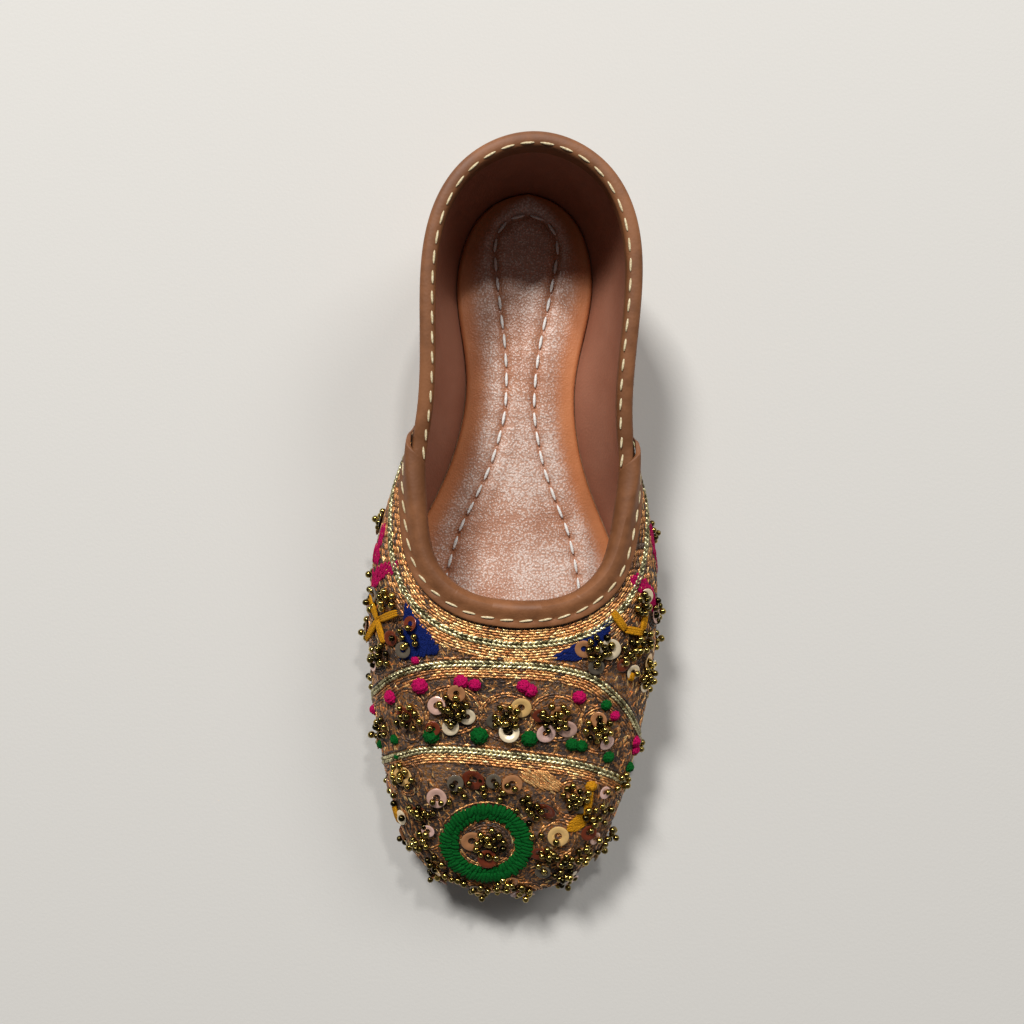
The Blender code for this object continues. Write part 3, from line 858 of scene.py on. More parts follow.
# Sole: one flat piece of undyed buffalo leather, sewn to the upper's turned-in edge, its own
# edge left raw and burnished, with a low stacked lift pegged under the heel.
sole_finish = Finish("sole_leather")
place = sole_finish.place
layers = place.node(
    "ShaderNodeTexWave",
    {"wave_type": "BANDS", "bands_direction": "Z"},
    {"Vector": place, "Scale": 260.0, "Distortion": 0.8, "Detail": 2.0},
)
fibre = place.noise(240.0, 5.0, 0.65)
scuff = place.noise(28.0, 5.0, 0.6)
tone = (fibre * 0.6 + scuff * 0.5 + layers * 0.04).step(0.36, 0.80)
sole_finish.feed("Base Color", tone.blend((0.235, 0.125, 0.060), (0.47, 0.30, 0.165)))
sole_finish.feed("Roughness", 0.50 + fibre * 0.3)
sole_finish.bump(fibre * 0.7 + layers * 0.12, 0.0003, 0.6)
for node in ("outsole", "heel_lift"):
    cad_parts[node].data.materials.clear()
    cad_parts[node].data.materials.append(sole_finish.material)

# Vamp cover: taupe silk cloth over the front, worked so closely with bronze and copper
# metal thread that little of it shows. It is lasted over the shell and closed at the wings.
COVER_LIFT = 0.00035
WING_SEAM_LEAN = 0.030
LEAN_FADE = 4
COVER_SHOULDER_AFTER = 0.006
COVER_SHOULDER = 0.055
COVER_DROP = 0.0012
COVER_AROUND = 420
COVER_ROWS = 44

cloth_finish = Finish("bronze_cloth", Sheen_Weight=0.04, Sheen_Roughness=0.4)
place = cloth_finish.place
warp = place.noise(60.0, 2.0)
weave = place.cells(1500.0)
thread_net = place.cells(620.0, "SMOOTH_F1")
glint = (place.noise(900.0, 2.0, 0.7) + warp * 0.25).step(0.62, 0.74)
ground = warp.step(0.35, 0.65).blend((0.026, 0.014, 0.009), (0.124, 0.074, 0.050))
cloth_finish.feed("Base Color", glint.blend(ground, (0.64, 0.29, 0.095)))
cloth_finish.feed("Metallic", glint * 0.85)
cloth_finish.feed("Roughness", 0.72 - glint * 0.36)
cloth_finish.bump(thread_net * 0.9 + weave * 0.5, 0.0005, 0.9)

seam_top = turn_at_top(WING_TIP + SEAM_INSET)
seam_foot = turn_at_top(WING_TIP + SEAM_INSET - WING_SEAM_LEAN)
turns = np.linspace(seam_top, 1 - seam_top, COVER_AROUND)
under_wing = 1 - ease((top_share(turns) - COLLAR_END - COVER_SHOULDER_AFTER) / COVER_SHOULDER)
cover_low = (COVER_EASE + COVER_LIFT * under_wing)[:, None]
cover_top = climb_at_depth(turns, (COLLAR_BAND + COVER_DROP) * under_wing)
row_share = np.linspace(0, 1, COVER_ROWS)
cover_climbs = cover_top[:, None] * row_share
from_middle = np.linspace(-1, 1, COVER_AROUND)
# The cover's back edges lean, so that they lie further forward on top than at the sole
lean = np.clip(LEAN_FADE * (np.abs(from_middle) - 1) + 1, 0, 1) * (seam_top - seam_foot)
cover_turns = turns[:, None] + (np.sign(from_middle) * lean)[:, None] * (1 - row_share)
cover_out = pushed(cover_turns, cover_climbs, cover_low + COVER_THICKNESS)
cover_in = pushed(cover_turns[:, ::-1], cover_climbs[:, ::-1], cover_low)
rings = np.concatenate([cover_out, cover_in], axis=1)
faces = grid_faces(*rings.shape[:2], False)
rows = rings.shape[1]
for start, flip in ((0, True), ((COVER_AROUND - 1) * rows, False)):
    for j in range(COVER_ROWS - 1):
        quad = (start + j, start + j + 1, start + rows - 2 - j, start + rows - 1 - j)
        faces.append(quad[::-1] if flip else quad)
cover = put("cloth_cover", rings, faces, cloth_finish)
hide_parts("vamp_cover")

cover_quads = [
    (corner, corner + 1, corner + COVER_ROWS + 1, corner + COVER_ROWS)
    for i in range(COVER_AROUND - 1)
    for corner in range(i * COVER_ROWS, (i + 1) * COVER_ROWS - 1)
]
cover_tree = BVHTree.FromPolygons(cover_out.reshape(-1, 3).tolist(), cover_quads)


def dropped(plan):
    """Places on the cover right under places given in millimetres across and along."""
    at, normals = [], []
    for across, along in np.atleast_2d(plan) / 1000:
        place, normal, _, _ = cover_tree.ray_cast(Vector((across, along, 0.2)), Vector((0, 0, -1)))
        if place is None:
            place, normal, _, _ = cover_tree.find_nearest(Vector((across, along, 0.012)))
        at.append(place)
        normals.append(normal if normal.z > -0.3 else -normal)
    return np.array(at), np.array(normals)


def settled(points):
    """The nearest places on the cover to these points, with the way out of it at each."""
    at, normals = [], []
    for point in points:
        place, normal, _, _ = cover_tree.find_nearest(Vector(point))
        at.append(place)
        normals.append(normal)
    return np.array(at), np.array(normals)


# Metal thread: worked through the cloth before it is lasted. Rows of chain stitch in copper,
# dull gold and bronze follow the throat and the two arcs over the toes, ring each flower and
# fill the ground between, and pale gold cords are couched down along them.
ROW_SPACING = 0.00098
CHAIN_LENGTH = 0.0024
CHAIN_WIDTH = 0.00078
CHAIN_STEP = 0.0021
CORD_DEPTH = 0.0119
THROAT_ROWS = (-4.6, -3.7, -2.8, -1.9, -1.0, 1.7, 2.6, 3.5, 4.4, 5.3)
ARC_ROWS = (1.7, 2.6, 3.5, 4.4)
# The two arcs of cord over the toes in millimetres, from the left of the picture to its right
UPPER_ARC = (
    (-45.0, -54.6), (-39.8, -48.7), (-31.9, -44.0), (-25.1, -42.1), (-15.5, -41.1),
    (-4.0, -41.0), (7.6, -41.1), (17.2, -42.2), (25.1, -44.4), (31.3, -48.9), (37.1, -55.2),
    (42.2, -63.7),
)
UPPER_ARC_ENDS = ((-46.6, -59.5, 15), (-45.0, -64.0, 7)), ((43.6, -69.5, 14), (42.2, -75.0, 7))
LOWER_ARC = (
    (-37.1, -74.1), (-29.1, -70.6), (-21.2, -69.6), (-11.4, -69.7), (-0.6, -70.4),
    (10.2, -71.3), (19.0, -72.3), (28.1, -74.4), (35.8, -78.1), (38.6, -80.8),
)
LOWER_ARC_ENDS = ((-41.5, -79.0, 15), (-40.0, -84.5, 8)), ((40.0, -87.0, 14), (38.0, -92.0, 8))
SWIRLS_EACH_SIDE = 9
SCALLOPS = 30
SCALLOP_MARGIN = 0.016
FILL_STITCHES = 7600
FILL_STITCH = (0.0021, 0.00052, 0.00044)
FILL_TOP_DEPTH = 0.0095
FILL_LOW_CLIMB = 0.06
SATIN_STITCH = (0.0030, 0.00062, 0.0006)
COVER_OUT = COVER_EASE + COVER_THICKNESS
CORD_STRAND = (0.0022, 0.00096, 0.0011)
CORD_STRAND_STEP = 0.00158
CORD_HALF_WIDTH = 0.0006076
CORD_SLANT = 0.40
SIDE_MARGIN = 0.012

zari_finish = Finish("metal_thread", Specular_IOR_Level=0.6)
place = zari_finish.place
shade = zari_finish.kept("shade")
twist = place.noise(1900.0, 2.0, 0.6)
METAL_TONES = (
    (0.0, (0.018, 0.011, 0.008)),
    (0.30, (0.120, 0.060, 0.032)),
    (0.55, (0.70, 0.28, 0.085)),
    (0.78, (0.98, 0.55, 0.200)),
    (1.0, (1.0, 0.80, 0.38)),
)
zari_finish.feed("Base Color", (shade + twist * 0.24 - 0.12).ramp(METAL_TONES))
zari_finish.feed("Metallic", shade.step(0.05, 0.45) * 0.62)
zari_finish.feed("Roughness", 0.46 - shade * 0.20)
zari_finish.bump(twist, 0.0003, 0.9)

cord_finish = Finish("pale_gold_cord", Metallic=0.75)
place = cord_finish.place
shade = cord_finish.kept("shade")
twist = place.noise(1500.0, 2.0, 0.6)
cord_tone = (shade * 0.8 + twist * 0.4).step(0.2, 0.9)
cord_finish.feed("Base Color", cord_tone.blend((0.110, 0.090, 0.034), (0.98, 0.88, 0.50)))
cord_finish.feed("Roughness", 0.22 + twist * 0.18)
cord_finish.bump(twist, 0.0002, 0.7)


def painted_side_shade(at):
    """How far the metal is darkened by painted shade: not at all on top of the foot, most down the
    sides.
    """
    return ease((np.abs(at[:, 0]) - 0.018) / 0.022)


def chain(pile, line, tone, closed=False, size=1.0):
    """One row of chain stitches laid along a line of places, nearly touching end to end."""
    here, ahead = resample(line, CHAIN_STEP * size, closed)
    at, normal = settled(here)
    count = len(at)
    long = CHAIN_LENGTH * size * rng.uniform(0.92, 1.12, count)
    wide = CHAIN_WIDTH * size * rng.uniform(0.85, 1.2, count)
    sizes = np.stack([long, wide, wide * 0.8], axis=1)
    ahead = ahead + np.cross(normal, ahead) * rng.normal(0, 0.10, count)[:, None]
    # Painted shade darkens the stitches down the sides of the foot.
    shade = np.clip(tone - 0.27 * painted_side_shade(at) + rng.normal(0, 0.17, count), 0, 1)
    pile.add(at + normal * (wide * 0.22)[:, None], ahead, normal, sizes, shade)


def beside(line, away):
    """A line the given distance to the side of another, measured over the cover."""
    line = np.asarray(line)
    ahead = unit(np.gradient(line, axis=0))
    at, normal = settled(line)
    return settled(at + np.cross(normal, ahead) * away)[0]


def twisted_cord(pile, line):
    """Two strands of slanted stitches side by side, as a pale gold cord couched down."""
    for hand in (-1, 1):
        here, ahead = resample(beside(line, hand * CORD_HALF_WIDTH), CORD_STRAND_STEP)
        at, normal = settled(here)
        side = np.cross(normal, ahead)
        # Painted shade dims the cord down the sides of the foot.
        shade = rng.uniform(0, 1, len(at)) ** 0.7 * (1 - 0.45 * painted_side_shade(at))
        slanted = ahead - side * hand * CORD_SLANT
        pile.add(at + normal * 0.00042, slanted, normal, CORD_STRAND, shade)


def arc_line(arc, ends):
    plan = smooth_line(arc, 140)
    top = dropped(plan)[0]
    left, right = (np.array(side) / 1000 for side in ends)
    whole = np.concatenate([left[::-1], top, right])
    return settled(resample(whole, 0.0012)[0])[0]


zari = Pile()
cords = Pile()
seam_turns = np.linspace(seam_top + SIDE_MARGIN, 1 - seam_top - SIDE_MARGIN, COVER_AROUND)


def round_throat(row):
    """A line round the throat, this many rows further down than the cord."""
    climb = climb_at_depth(seam_turns, CORD_DEPTH + row * ROW_SPACING)
    return pushed(seam_turns, climb, COVER_OUT)


arcs = (arc_line(UPPER_ARC, UPPER_ARC_ENDS), arc_line(LOWER_ARC, LOWER_ARC_ENDS))
for line in (round_throat(0), *arcs):
    twisted_cord(cords, line)
for row in THROAT_ROWS:
    chain(zari, round_throat(row), 0.70 if abs(row) > 1 else 0.62)
for line in arcs:
    towards_toe = -1 if beside(line, 0.002)[len(line) // 2, 1] > line[len(line) // 2, 1] else 1
    for row in ARC_ROWS:
        chain(zari, beside(line, towards_toe * row * ROW_SPACING), 0.72 - 0.03 * row)
    chain(zari, beside(line, -towards_toe * 1.8 * ROW_SPACING), 0.40)

# Both back edges of the cover are closed by a cord with chain rows before it
for edge, inward in ((2, 1), (-3, -1)):
    twisted_cord(cords, cover_out[edge, 3:36])
    for row in (4, 8, 12):
        chain(zari, cover_out[edge + inward * row, 3:34], 0.66)
for above_sole in (0.0040, 0.0050):
    foot = pushed(seam_turns, np.zeros(len(seam_turns)), COVER_OUT) + (0, 0, above_sole)
    chain(zari, foot, 0.58)
# A scalloped cord runs round both sides above the sole, under the fullest line
scallop_turns = np.linspace(seam_top + SCALLOP_MARGIN, 1 - seam_top - SCALLOP_MARGIN, 1200)
scallop_wave = np.abs(np.sin(np.linspace(0, SCALLOPS * math.pi, 1200)))
twisted_cord(cords, pushed(scallop_turns, 0.26 + 0.26 * scallop_wave, COVER_OUT)[::3])
chain(zari, pushed(scallop_turns, 0.34 + 0.28 * scallop_wave, COVER_OUT)[::3], 0.66)


def ring_points(centre, normal, wide, tall=None, start=0.0, end=1.0):
    """Places on a circle or oval that lies on the cover round a centre."""
    normal = unit(np.asarray(normal))
    across = unit(np.cross(np.array((0.0, 1.0, 0.0)), normal))
    up = np.cross(normal, across)
    spin = math.tau * np.linspace(start, end, 48)[:, None]
    flat = centre + across * np.cos(spin) * wide + up * np.sin(spin) * (tall or wide)
    return settled(flat)[0]


# Flowers of the vamp and toe: centre across and along in millimetres, then ring radii
RINGED_FLOWERS = (
    (-32.4, -59.2, 5.6, 8.2), (-18.8, -56.6, 8.6, 7.2), (-1.2, -58.2, 8.2, 7.2),
    (14.2, -57.6, 8.0, 7.0), (29.0, -61.0, 7.0, 7.4), (-33.3, -79.8, 5.2, 6.0),
    (21.6, -84.6, 6.4, 6.2), (-33.6, -34.6, 6.2, 7.0), (26.0, -35.2, 6.4, 6.4),
    (36.6, -35.0, 5.4, 6.6), (17.2, -99.0, 5.6, 6.4), (-25.6, -98.0, 5.4, 6.6),
)
for across, along, wide, tall in RINGED_FLOWERS:
    centre, normal = dropped((across, along))
    for grow in (0.0, 0.9):
        ring = ring_points(centre[0], normal[0], (wide + grow) / 1000, (tall + grow) / 1000)
        chain(zari, ring, 0.52 - 0.12 * grow, closed=True, size=0.85)

# The toe medallion: copper chain round a dark middle, inside and outside of the green ring
MEDALLION = (-6.0, -101.2)
centre, normal = dropped(MEDALLION)
for tone, radii in ((0.55, (9.4, 8.6, 15.6)), (0.16, (1.0, 2.2, 3.4, 4.6, 5.8, 7.0, 7.8))):
    for radius in np.array(radii) / 1000:
        chain(zari, ring_points(centre[0], normal[0], radius, radius * 0.94), tone, True, 0.85)

# Coiled chain rings down both sides and round the toe
side_places = []
for side_start in (seam_top + 0.020, 1 - seam_top - 0.020):
    side_turns = np.linspace(side_start, 0.5, SWIRLS_EACH_SIDE, endpoint=False)
    side_places += [(turn, 0.95 if i % 2 else 0.55) for i, turn in enumerate(side_turns)]
side_places.append((0.5, 0.6))
for turn, climb in ((0.290, 1.30), (0.326, 1.34), (0.487, 1.14), (0.462, 1.05)):
    side_places += [(turn, climb), (1 - turn, climb)]


def side_spot(turn, climb):
    """One place on the cover, with the directions up, along and out of it."""
    turn, climb = np.array([turn]), np.array([climb])
    return [found[0] for found in (pushed(turn, climb, COVER_OUT), *skin_axes(turn, climb))]


for turn, climb in side_places:
    centre, _, _, normal = side_spot(turn, climb)
    for k, radius in enumerate((0.0062, 0.0052, 0.0042)):
        chain(zari, ring_points(centre, normal, radius, radius * 0.9), 0.34 + 0.1 * k, True, 0.8)

# Short stitches all over the ground, most along the shoe's own run, some across
fill_turn = rng.uniform(seam_top + SIDE_MARGIN, 1 - seam_top - SIDE_MARGIN, FILL_STITCHES)
fill_height = rng.uniform(0, 1, FILL_STITCHES) ** 0.8
top_climb = climb_at_depth(fill_turn, FILL_TOP_DEPTH)
fill_climb = FILL_LOW_CLIMB + (top_climb - FILL_LOW_CLIMB) * fill_height
fill_up, fill_run, fill_normal = skin_axes(fill_turn, fill_climb)
lean = rng.normal(0, 0.55, FILL_STITCHES)[:, None]
fill_at = settled(skin(fill_turn, fill_climb))[0] + fill_normal * 0.00012
fill_size = FILL_STITCH * rng.uniform(0.8, 1.25, (FILL_STITCHES, 1))
warm = rng.uniform(0, 1, FILL_STITCHES) < 0.55
copper, dull = (rng.normal(*spread, FILL_STITCHES) for spread in ((0.66, 0.17), (0.16, 0.10)))
fill_shade = np.clip(np.where(warm, copper, dull), 0, 1)
ground_stitches = Pile()
ground_stitches.add(fill_at, fill_run + fill_up * lean, fill_normal, fill_size, fill_shade)
ground_stitches.make("ground_stitches", oval(5, 3), zari_finish)


def inside_outline(point, corners):
    hit = False
    for (ax, ay), (bx, by) in zip(corners, corners[1:] + corners[:1]):
        if (ay > point[1]) != (by > point[1]):
            if point[0] < (bx - ax) * (point[1] - ay) / (by - ay) + ax:
                hit = not hit
    return hit


def spots_inside(corners, across_step, along_step):
    """Places in millimetres scattered over the inside of an outline."""
    low, high = np.min(corners, axis=0), np.max(corners, axis=0)
    spots = []
    for across in np.arange(low[0], high[0], across_step):
        for along in np.arange(low[1], high[1], along_step):
            spot = (across + rng.uniform(-0.3, 0.3), along + rng.uniform(-0.3, 0.3))
            if inside_outline(spot, corners):
                spots.append(spot)
    return np.array(spots)


# Copper satin stitch under the lower arc
SATIN = ((4.6, -75.4), (13.4, -76.2), (17.0, -79.6), (15.6, -82.0), (9.7, -81.2), (4.6, -78.6))
at, normal = dropped(spots_inside(SATIN, 0.5, 0.8))
satin_way = np.array((0.8, -0.7, 0.0)) + rng.normal(0, 0.05, (len(at), 3))
satin_tone = np.clip(rng.normal(0.66, 0.12, len(at)), 0, 1)
zari.add(at + normal * 0.0004, satin_way, normal, SATIN_STITCH, satin_tone)
zari.make("metal_thread_stitches", oval(6, 4), zari_finish)
cords.make("pale_gold_cords", oval(8, 5), cord_finish)

# Coloured wool and silk, sewn through the cloth: blue corners under the throat, knots in two
# rows, patches of satin stitch down the sides, yellow straight stitches and the green ring.
BLUE, GREEN, MAGENTA, YELLOW, TEAL = 0.1, 0.3, 0.5, 0.7, 0.9
# colour, across and along in millimetres, diameter in millimetres
WOOL_KNOTS = (
    (MAGENTA, -44.6, -61.0, 3.6), (MAGENTA, -38.6, -54.0, 4.4), (MAGENTA, -29.2, -49.1, 5.0),
    (MAGENTA, -16.4, -47.1, 4.4), (MAGENTA, -12.0, -47.9, 3.8), (MAGENTA, 3.4, -47.7, 4.2),
    (MAGENTA, 5.6, -49.0, 4.2), (MAGENTA, 21.1, -50.6, 4.2), (MAGENTA, 32.9, -56.5, 3.2),
    (MAGENTA, 41.2, -66.4, 3.6), (MAGENTA, 41.4, -69.4, 3.6), (GREEN, -42.0, -72.0, 2.8),
    (GREEN, -36.9, -68.0, 3.2), (GREEN, -36.0, -73.6, 2.2), (GREEN, -25.1, -65.2, 5.0),
    (GREEN, -9.9, -64.5, 5.4), (GREEN, 6.1, -64.8, 5.0), (GREEN, 19.8, -66.3, 4.0),
    (GREEN, 22.8, -66.6, 3.8), (GREEN, 31.7, -70.3, 3.8), (GREEN, 29.8, -52.9, 3.4),
    (GREEN, 39.6, -75.2, 3.6), (YELLOW, 26.7, -80.1, 3.6), (MAGENTA, -31.0, -41.0, 2.6),
)
# colour, corners in millimetres, way of the stitches
PATCHES = (
    (BLUE, ((-34.6, -23.4), (-23.6, -37.4), (-28.6, -38.9), (-35.6, -40.6)), (0.35, 1.0)),
    (BLUE, ((12.0, -37.9), (20.1, -33.0), (29.4, -24.6), (28.6, -31.1), (20.4, -39.2)), (1, 0.5)),
    (
        YELLOW,
        ((23.5, -90.0), (27.2, -91.0), (24.6, -95.0), (20.4, -96.4), (20.6, -93.0)),
        (1.0, 0.6),
    ),
    (
        MAGENTA,
        ((-42.0, 0.4), (-43.4, -5.2), (-44.6, -11.6), (-46.0, -10.6), (-43.6, 1.6)),
        (0.2, 1.0),
    ),
    (
        MAGENTA,
        ((-38.1, -10.2), (-43.6, -12.4), (-46.4, -14.4), (-46.6, -20.6))
        + ((-45.2, -19.6), (-42.5, -15.2), (-38.0, -13.6)),
        (0.7, 0.6),
    ),
    (MAGENTA, ((41.6, 3.6), (43.0, -1.0), (44.2, -6.4), (45.6, -5.4), (43.4, 3.8)), (-0.2, 1.0)),
    (
        MAGENTA,
        ((35.4, -12.3), (39.1, -11.5), (43.1, -15.0), (46.6, -21.4))
        + ((46.6, -26.6), (45.0, -24.4), (40.4, -17.6), (36.7, -15.6)),
        (-0.7, 0.7),
    ),
)
# from and to in millimetres of the straight stitches of wool
YELLOW_STROKES = (
    ((-43.4, -29.5), (-46.0, -22.0)), ((-43.4, -29.5), (-35.0, -26.0)),
    ((-43.4, -29.5), (-46.4, -37.0)), ((-43.4, -29.5), (-40.4, -36.6)),
    ((29.8, -22.9), (34.2, -28.6)), ((34.2, -28.6), (40.0, -29.6)),
    ((40.0, -29.6), (41.0, -22.6)), ((40.0, -29.6), (39.0, -37.4)),
    ((36.6, -45.0), (37.4, -42.4)), ((26.4, -81.4), (25.6, -90.0)),
    ((-36.4, -90.0), (-34.0, -97.0)),
)
# place round and up the shoe of the satin patches on its sides, with their sizes
SIDE_PATCHES = (
    (MAGENTA, 0.262, 1.05, 0.0075, 0.0045),
    (MAGENTA, 0.292, 0.72, 0.0085, 0.0050),
    (TEAL, 0.320, 0.45, 0.0070, 0.0040),
    (MAGENTA, 0.352, 0.88, 0.0070, 0.0040),
    (GREEN, 0.392, 0.62, 0.0065, 0.0042),
    (TEAL, 0.430, 0.42, 0.0080, 0.0036),
    (BLUE, 0.470, 0.50, 0.0070, 0.0036),
    (TEAL, 0.530, 0.42, 0.0075, 0.0036),
    (GREEN, 0.574, 0.50, 0.0080, 0.0036),
    (TEAL, 0.612, 0.62, 0.0065, 0.0042),
    (MAGENTA, 0.650, 0.88, 0.0070, 0.0040),
    (BLUE, 0.682, 0.45, 0.0070, 0.0040),
    (MAGENTA, 0.708, 0.95, 0.0085, 0.0050),
    (MAGENTA, 0.738, 1.12, 0.0075, 0.0042),
    (YELLOW, 0.278, 0.42, 0.0060, 0.0034),
    (YELLOW, 0.722, 0.42, 0.0060, 0.0034),
)
# half width, half height and stitch of the green ring, then its layers: share of that size,
# number of stitches, how far they lean
RING = np.array((0.0123, 0.0118))
RING_STITCH = (0.0046, 0.0018, 0.0015)
RING_LAYERS = ((1.0, 64, 0.35), (0.90, 56, -0.35), (1.08, 62, -0.2))
PATCH_STITCH = (0.0030, 0.0010, 0.0007)
SIDE_STITCH = (0.0011, 0.0010)
SIDE_STITCH_STEP = 0.00075
STROKE = 0.0014
STROKE_SHIFTS = (-0.0007, 0.0, 0.0007)
SCALLOP_KNOT = 0.0016
SCALLOP_KNOT_CLIMB = 0.42

wool_finish = Finish("coloured_wool", Specular_IOR_Level=0.12)
place = wool_finish.place
shade = wool_finish.kept("shade")
fibre = place.noise(2200.0, 3.0, 0.65)
DYES = (
    (0.0, (0.006, 0.018, 0.140)),
    (0.2, (0.0, 0.115, 0.014)),
    (0.4, (0.60, 0.003, 0.110)),
    (0.6, (0.72, 0.31, 0.008)),
    (0.8, (0.008, 0.085, 0.095)),
)
dyed = {0: shade.ramp(DYES, "CONSTANT"), "Scale": fibre.step(0.25, 0.75) * 0.55 + 0.45}
wool_finish.feed("Base Color", shade.node("ShaderNodeVectorMath", {"operation": "SCALE"}, dyed))
wool_finish.feed("Roughness", 0.62 + fibre * 0.25)
wool_finish.bump(fibre, 0.0005, 1.0)

wool = Pile()


def wool_knot(colour, centre, normal, radius):
    """A small heap of wound wool, three rounds of short stitches one on another."""
    side = unit(np.cross(normal, (0.3, 1.0, 0.0)))
    fore = np.cross(normal, side)
    for level, grow, count in ((0.25, 0.72, 9), (0.60, 0.46, 7), (0.85, 0.12, 3)):
        spin = math.tau * (np.arange(count) + rng.uniform()) / count
        ray = np.cos(spin)[:, None] * side + np.sin(spin)[:, None] * fore
        at = centre + ray * radius * grow + normal * radius * level
        around = np.cross(normal, ray) + ray * 0.35
        wool.add(at, around, normal, np.array((1.25, 0.62, 0.62)) * radius, colour)


for colour, across, along, wide in WOOL_KNOTS:
    centre, normal = dropped((across, along))
    wool_knot(colour, centre[0], normal[0], wide / 2000)

for colour, corners, way in PATCHES:
    at, normal = dropped(spots_inside(corners, 0.6, 1.0))
    ahead = np.array((*way, 0.0)) + rng.normal(0, 0.05, (len(at), 3))
    wool.add(at + normal * 0.0003, ahead, normal, PATCH_STITCH, colour)

for colour, turn, climb, long, wide in SIDE_PATCHES:
    count = int(wide / 0.0007)
    turns = np.full(count, turn)
    up, run, normal = skin_axes(turns, np.full(count, climb))
    spread = (np.arange(count) - count / 2) * SIDE_STITCH_STEP
    at, normal = settled(pushed(turns, np.full(count, climb), COVER_OUT) + up * spread[:, None])
    taper = np.sqrt(np.clip(1 - (spread / (wide * 0.62)) ** 2, 0.1, 1))
    sizes = np.stack([long * taper, *(np.full(count, thick) for thick in SIDE_STITCH)], axis=1)
    wool.add(at + normal * 0.0003, run + up * 0.15, normal, sizes, colour)

# A small knot sits in the top of every scallop, the colours taking turns
for i in range(SCALLOPS):
    turn = seam_top + SCALLOP_MARGIN + (1 - 2 * (seam_top + SCALLOP_MARGIN)) * (i + 0.5) / SCALLOPS
    centre, _, _, normal = side_spot(turn, SCALLOP_KNOT_CLIMB)
    wool_knot((MAGENTA, GREEN, YELLOW)[i % 3], centre, normal, SCALLOP_KNOT)

for start, end in YELLOW_STROKES:
    at, normal = dropped((start, end))
    middle = (at[0] + at[1]) / 2
    way = at[1] - at[0]
    side = np.cross(normal[0], unit(way))
    for shift in STROKE_SHIFTS:
        laid = settled([middle + side * shift])[0][0] + normal[0] * 0.0011
        wool.add(laid, way, normal[0], (np.linalg.norm(way) * 1.08, STROKE, STROKE), YELLOW)

centre, centre_normal = dropped(MEDALLION)
for layer, (grow, count, turn_in) in enumerate(RING_LAYERS):
    ring = ring_points(centre[0], centre_normal[0], *(RING * grow))
    here, ahead = resample(ring[:-1], math.tau * RING[0] / count, True)
    at, normal = settled(here)
    ray = np.cross(ahead, normal)
    lean = turn_in + rng.normal(0, 0.22, len(at))[:, None]
    sizes = RING_STITCH * rng.uniform(0.8, 1.1, (len(at), 1))
    wool.add(at + normal * (0.0005 + 0.0004 * layer), ray + ahead * lean, normal, sizes, GREEN)
wool.make("coloured_wool", oval(7, 5), wool_finish)

# Sequins: small flat and cupped rings of foil in gold, pink, copper, red-brown and grey,
# lying over each other like petals and held by the beads in their middle.
GOLD, CREAM, PINK, BLUSH, COPPER, RUST, GREY = (0.07, 0.21, 0.35, 0.5, 0.64, 0.78, 0.93)
# colour, across and along in millimetres, diameter in millimetres
SEQUINS = (
    (BLUSH, -23.7, -55.0, 5.8), (COPPER, -17.6, -50.5, 5.8), (CREAM, -13.9, -58.1, 5.2),
    (CREAM, -19.1, -61.8, 5.4), (GOLD, 2.9, -54.3, 6.6), (CREAM, -0.5, -62.6, 6.6),
    (GREY, -5.1, -59.2, 5.4), (PINK, 11.2, -62.6, 6.2), (BLUSH, 17.9, -60.8, 6.2),
    (COPPER, 15.0, -55.6, 5.4), (PINK, 30.5, -65.1, 5.2), (COPPER, 27.6, -57.4, 5.2),
    (CREAM, 29.4, -34.5, 7.0), (COPPER, 21.6, -34.7, 5.8), (GREY, 25.6, -40.2, 5.2),
    (CREAM, 37.2, -42.1, 5.0), (CREAM, 42.0, -47.2, 4.4), (CREAM, 40.7, -18.1, 5.0),
    (RUST, -32.6, -29.4, 5.0), (GREY, -34.3, -37.7, 5.2), (RUST, -33.4, -58.8, 5.6),
    (BLUSH, -22.6, -85.8, 6.6), (RUST, -11.1, -78.9, 7.4), (COPPER, 1.3, -80.0, 6.6),
    (RUST, 12.6, -88.4, 6.6), (GOLD, 17.1, -97.3, 7.0), (PINK, -24.8, -97.3, 4.4),
    (COPPER, 19.2, -106.2, 5.0), (GREY, -16.9, -80.2, 5.4), (GREY, -4.7, -79.2, 5.0),
    (GOLD, -33.4, -79.6, 6.6), (CREAM, -33.4, -94.5, 5.0), (GREY, 12.9, -110.3, 5.2),
    (GREY, 23.9, -85.9, 6.6), (COPPER, 20.4, -81.6, 5.6), (COPPER, -10.7, -100.1, 7.2),
    (RUST, -5.4, -105.9, 6.4), (RUST, 26.6, -95.7, 5.4), (RUST, 11.0, -103.4, 5.0),
    (RUST, -28.2, -91.2, 5.0), (COPPER, 24.4, -105.6, 4.6), (RUST, -24.6, -62.4, 4.8),
    (RUST, 8.8, -56.6, 4.6), (RUST, -38.6, -34.6, 5.0), (RUST, 33.6, -39.6, 4.6),
    (PINK, 30.7, -81.8, 4.2), (BLUSH, 28.9, -98.2, 4.4), (CREAM, 22.4, -112.0, 4.4),
    (CREAM, -30.6, -104.6, 4.4), (GOLD, -21.6, -111.6, 4.6), (COPPER, 2.6, -114.4, 5.0),
)
# as shares of a sequin's diameter
SEQUIN_HOLE = 0.36
SEQUIN_CUP = 0.06
SEQUIN_THICKNESS = 0.045
SIDE_SEQUIN = 0.0052
SIDE_SEQUIN_SHIFT = 0.0028

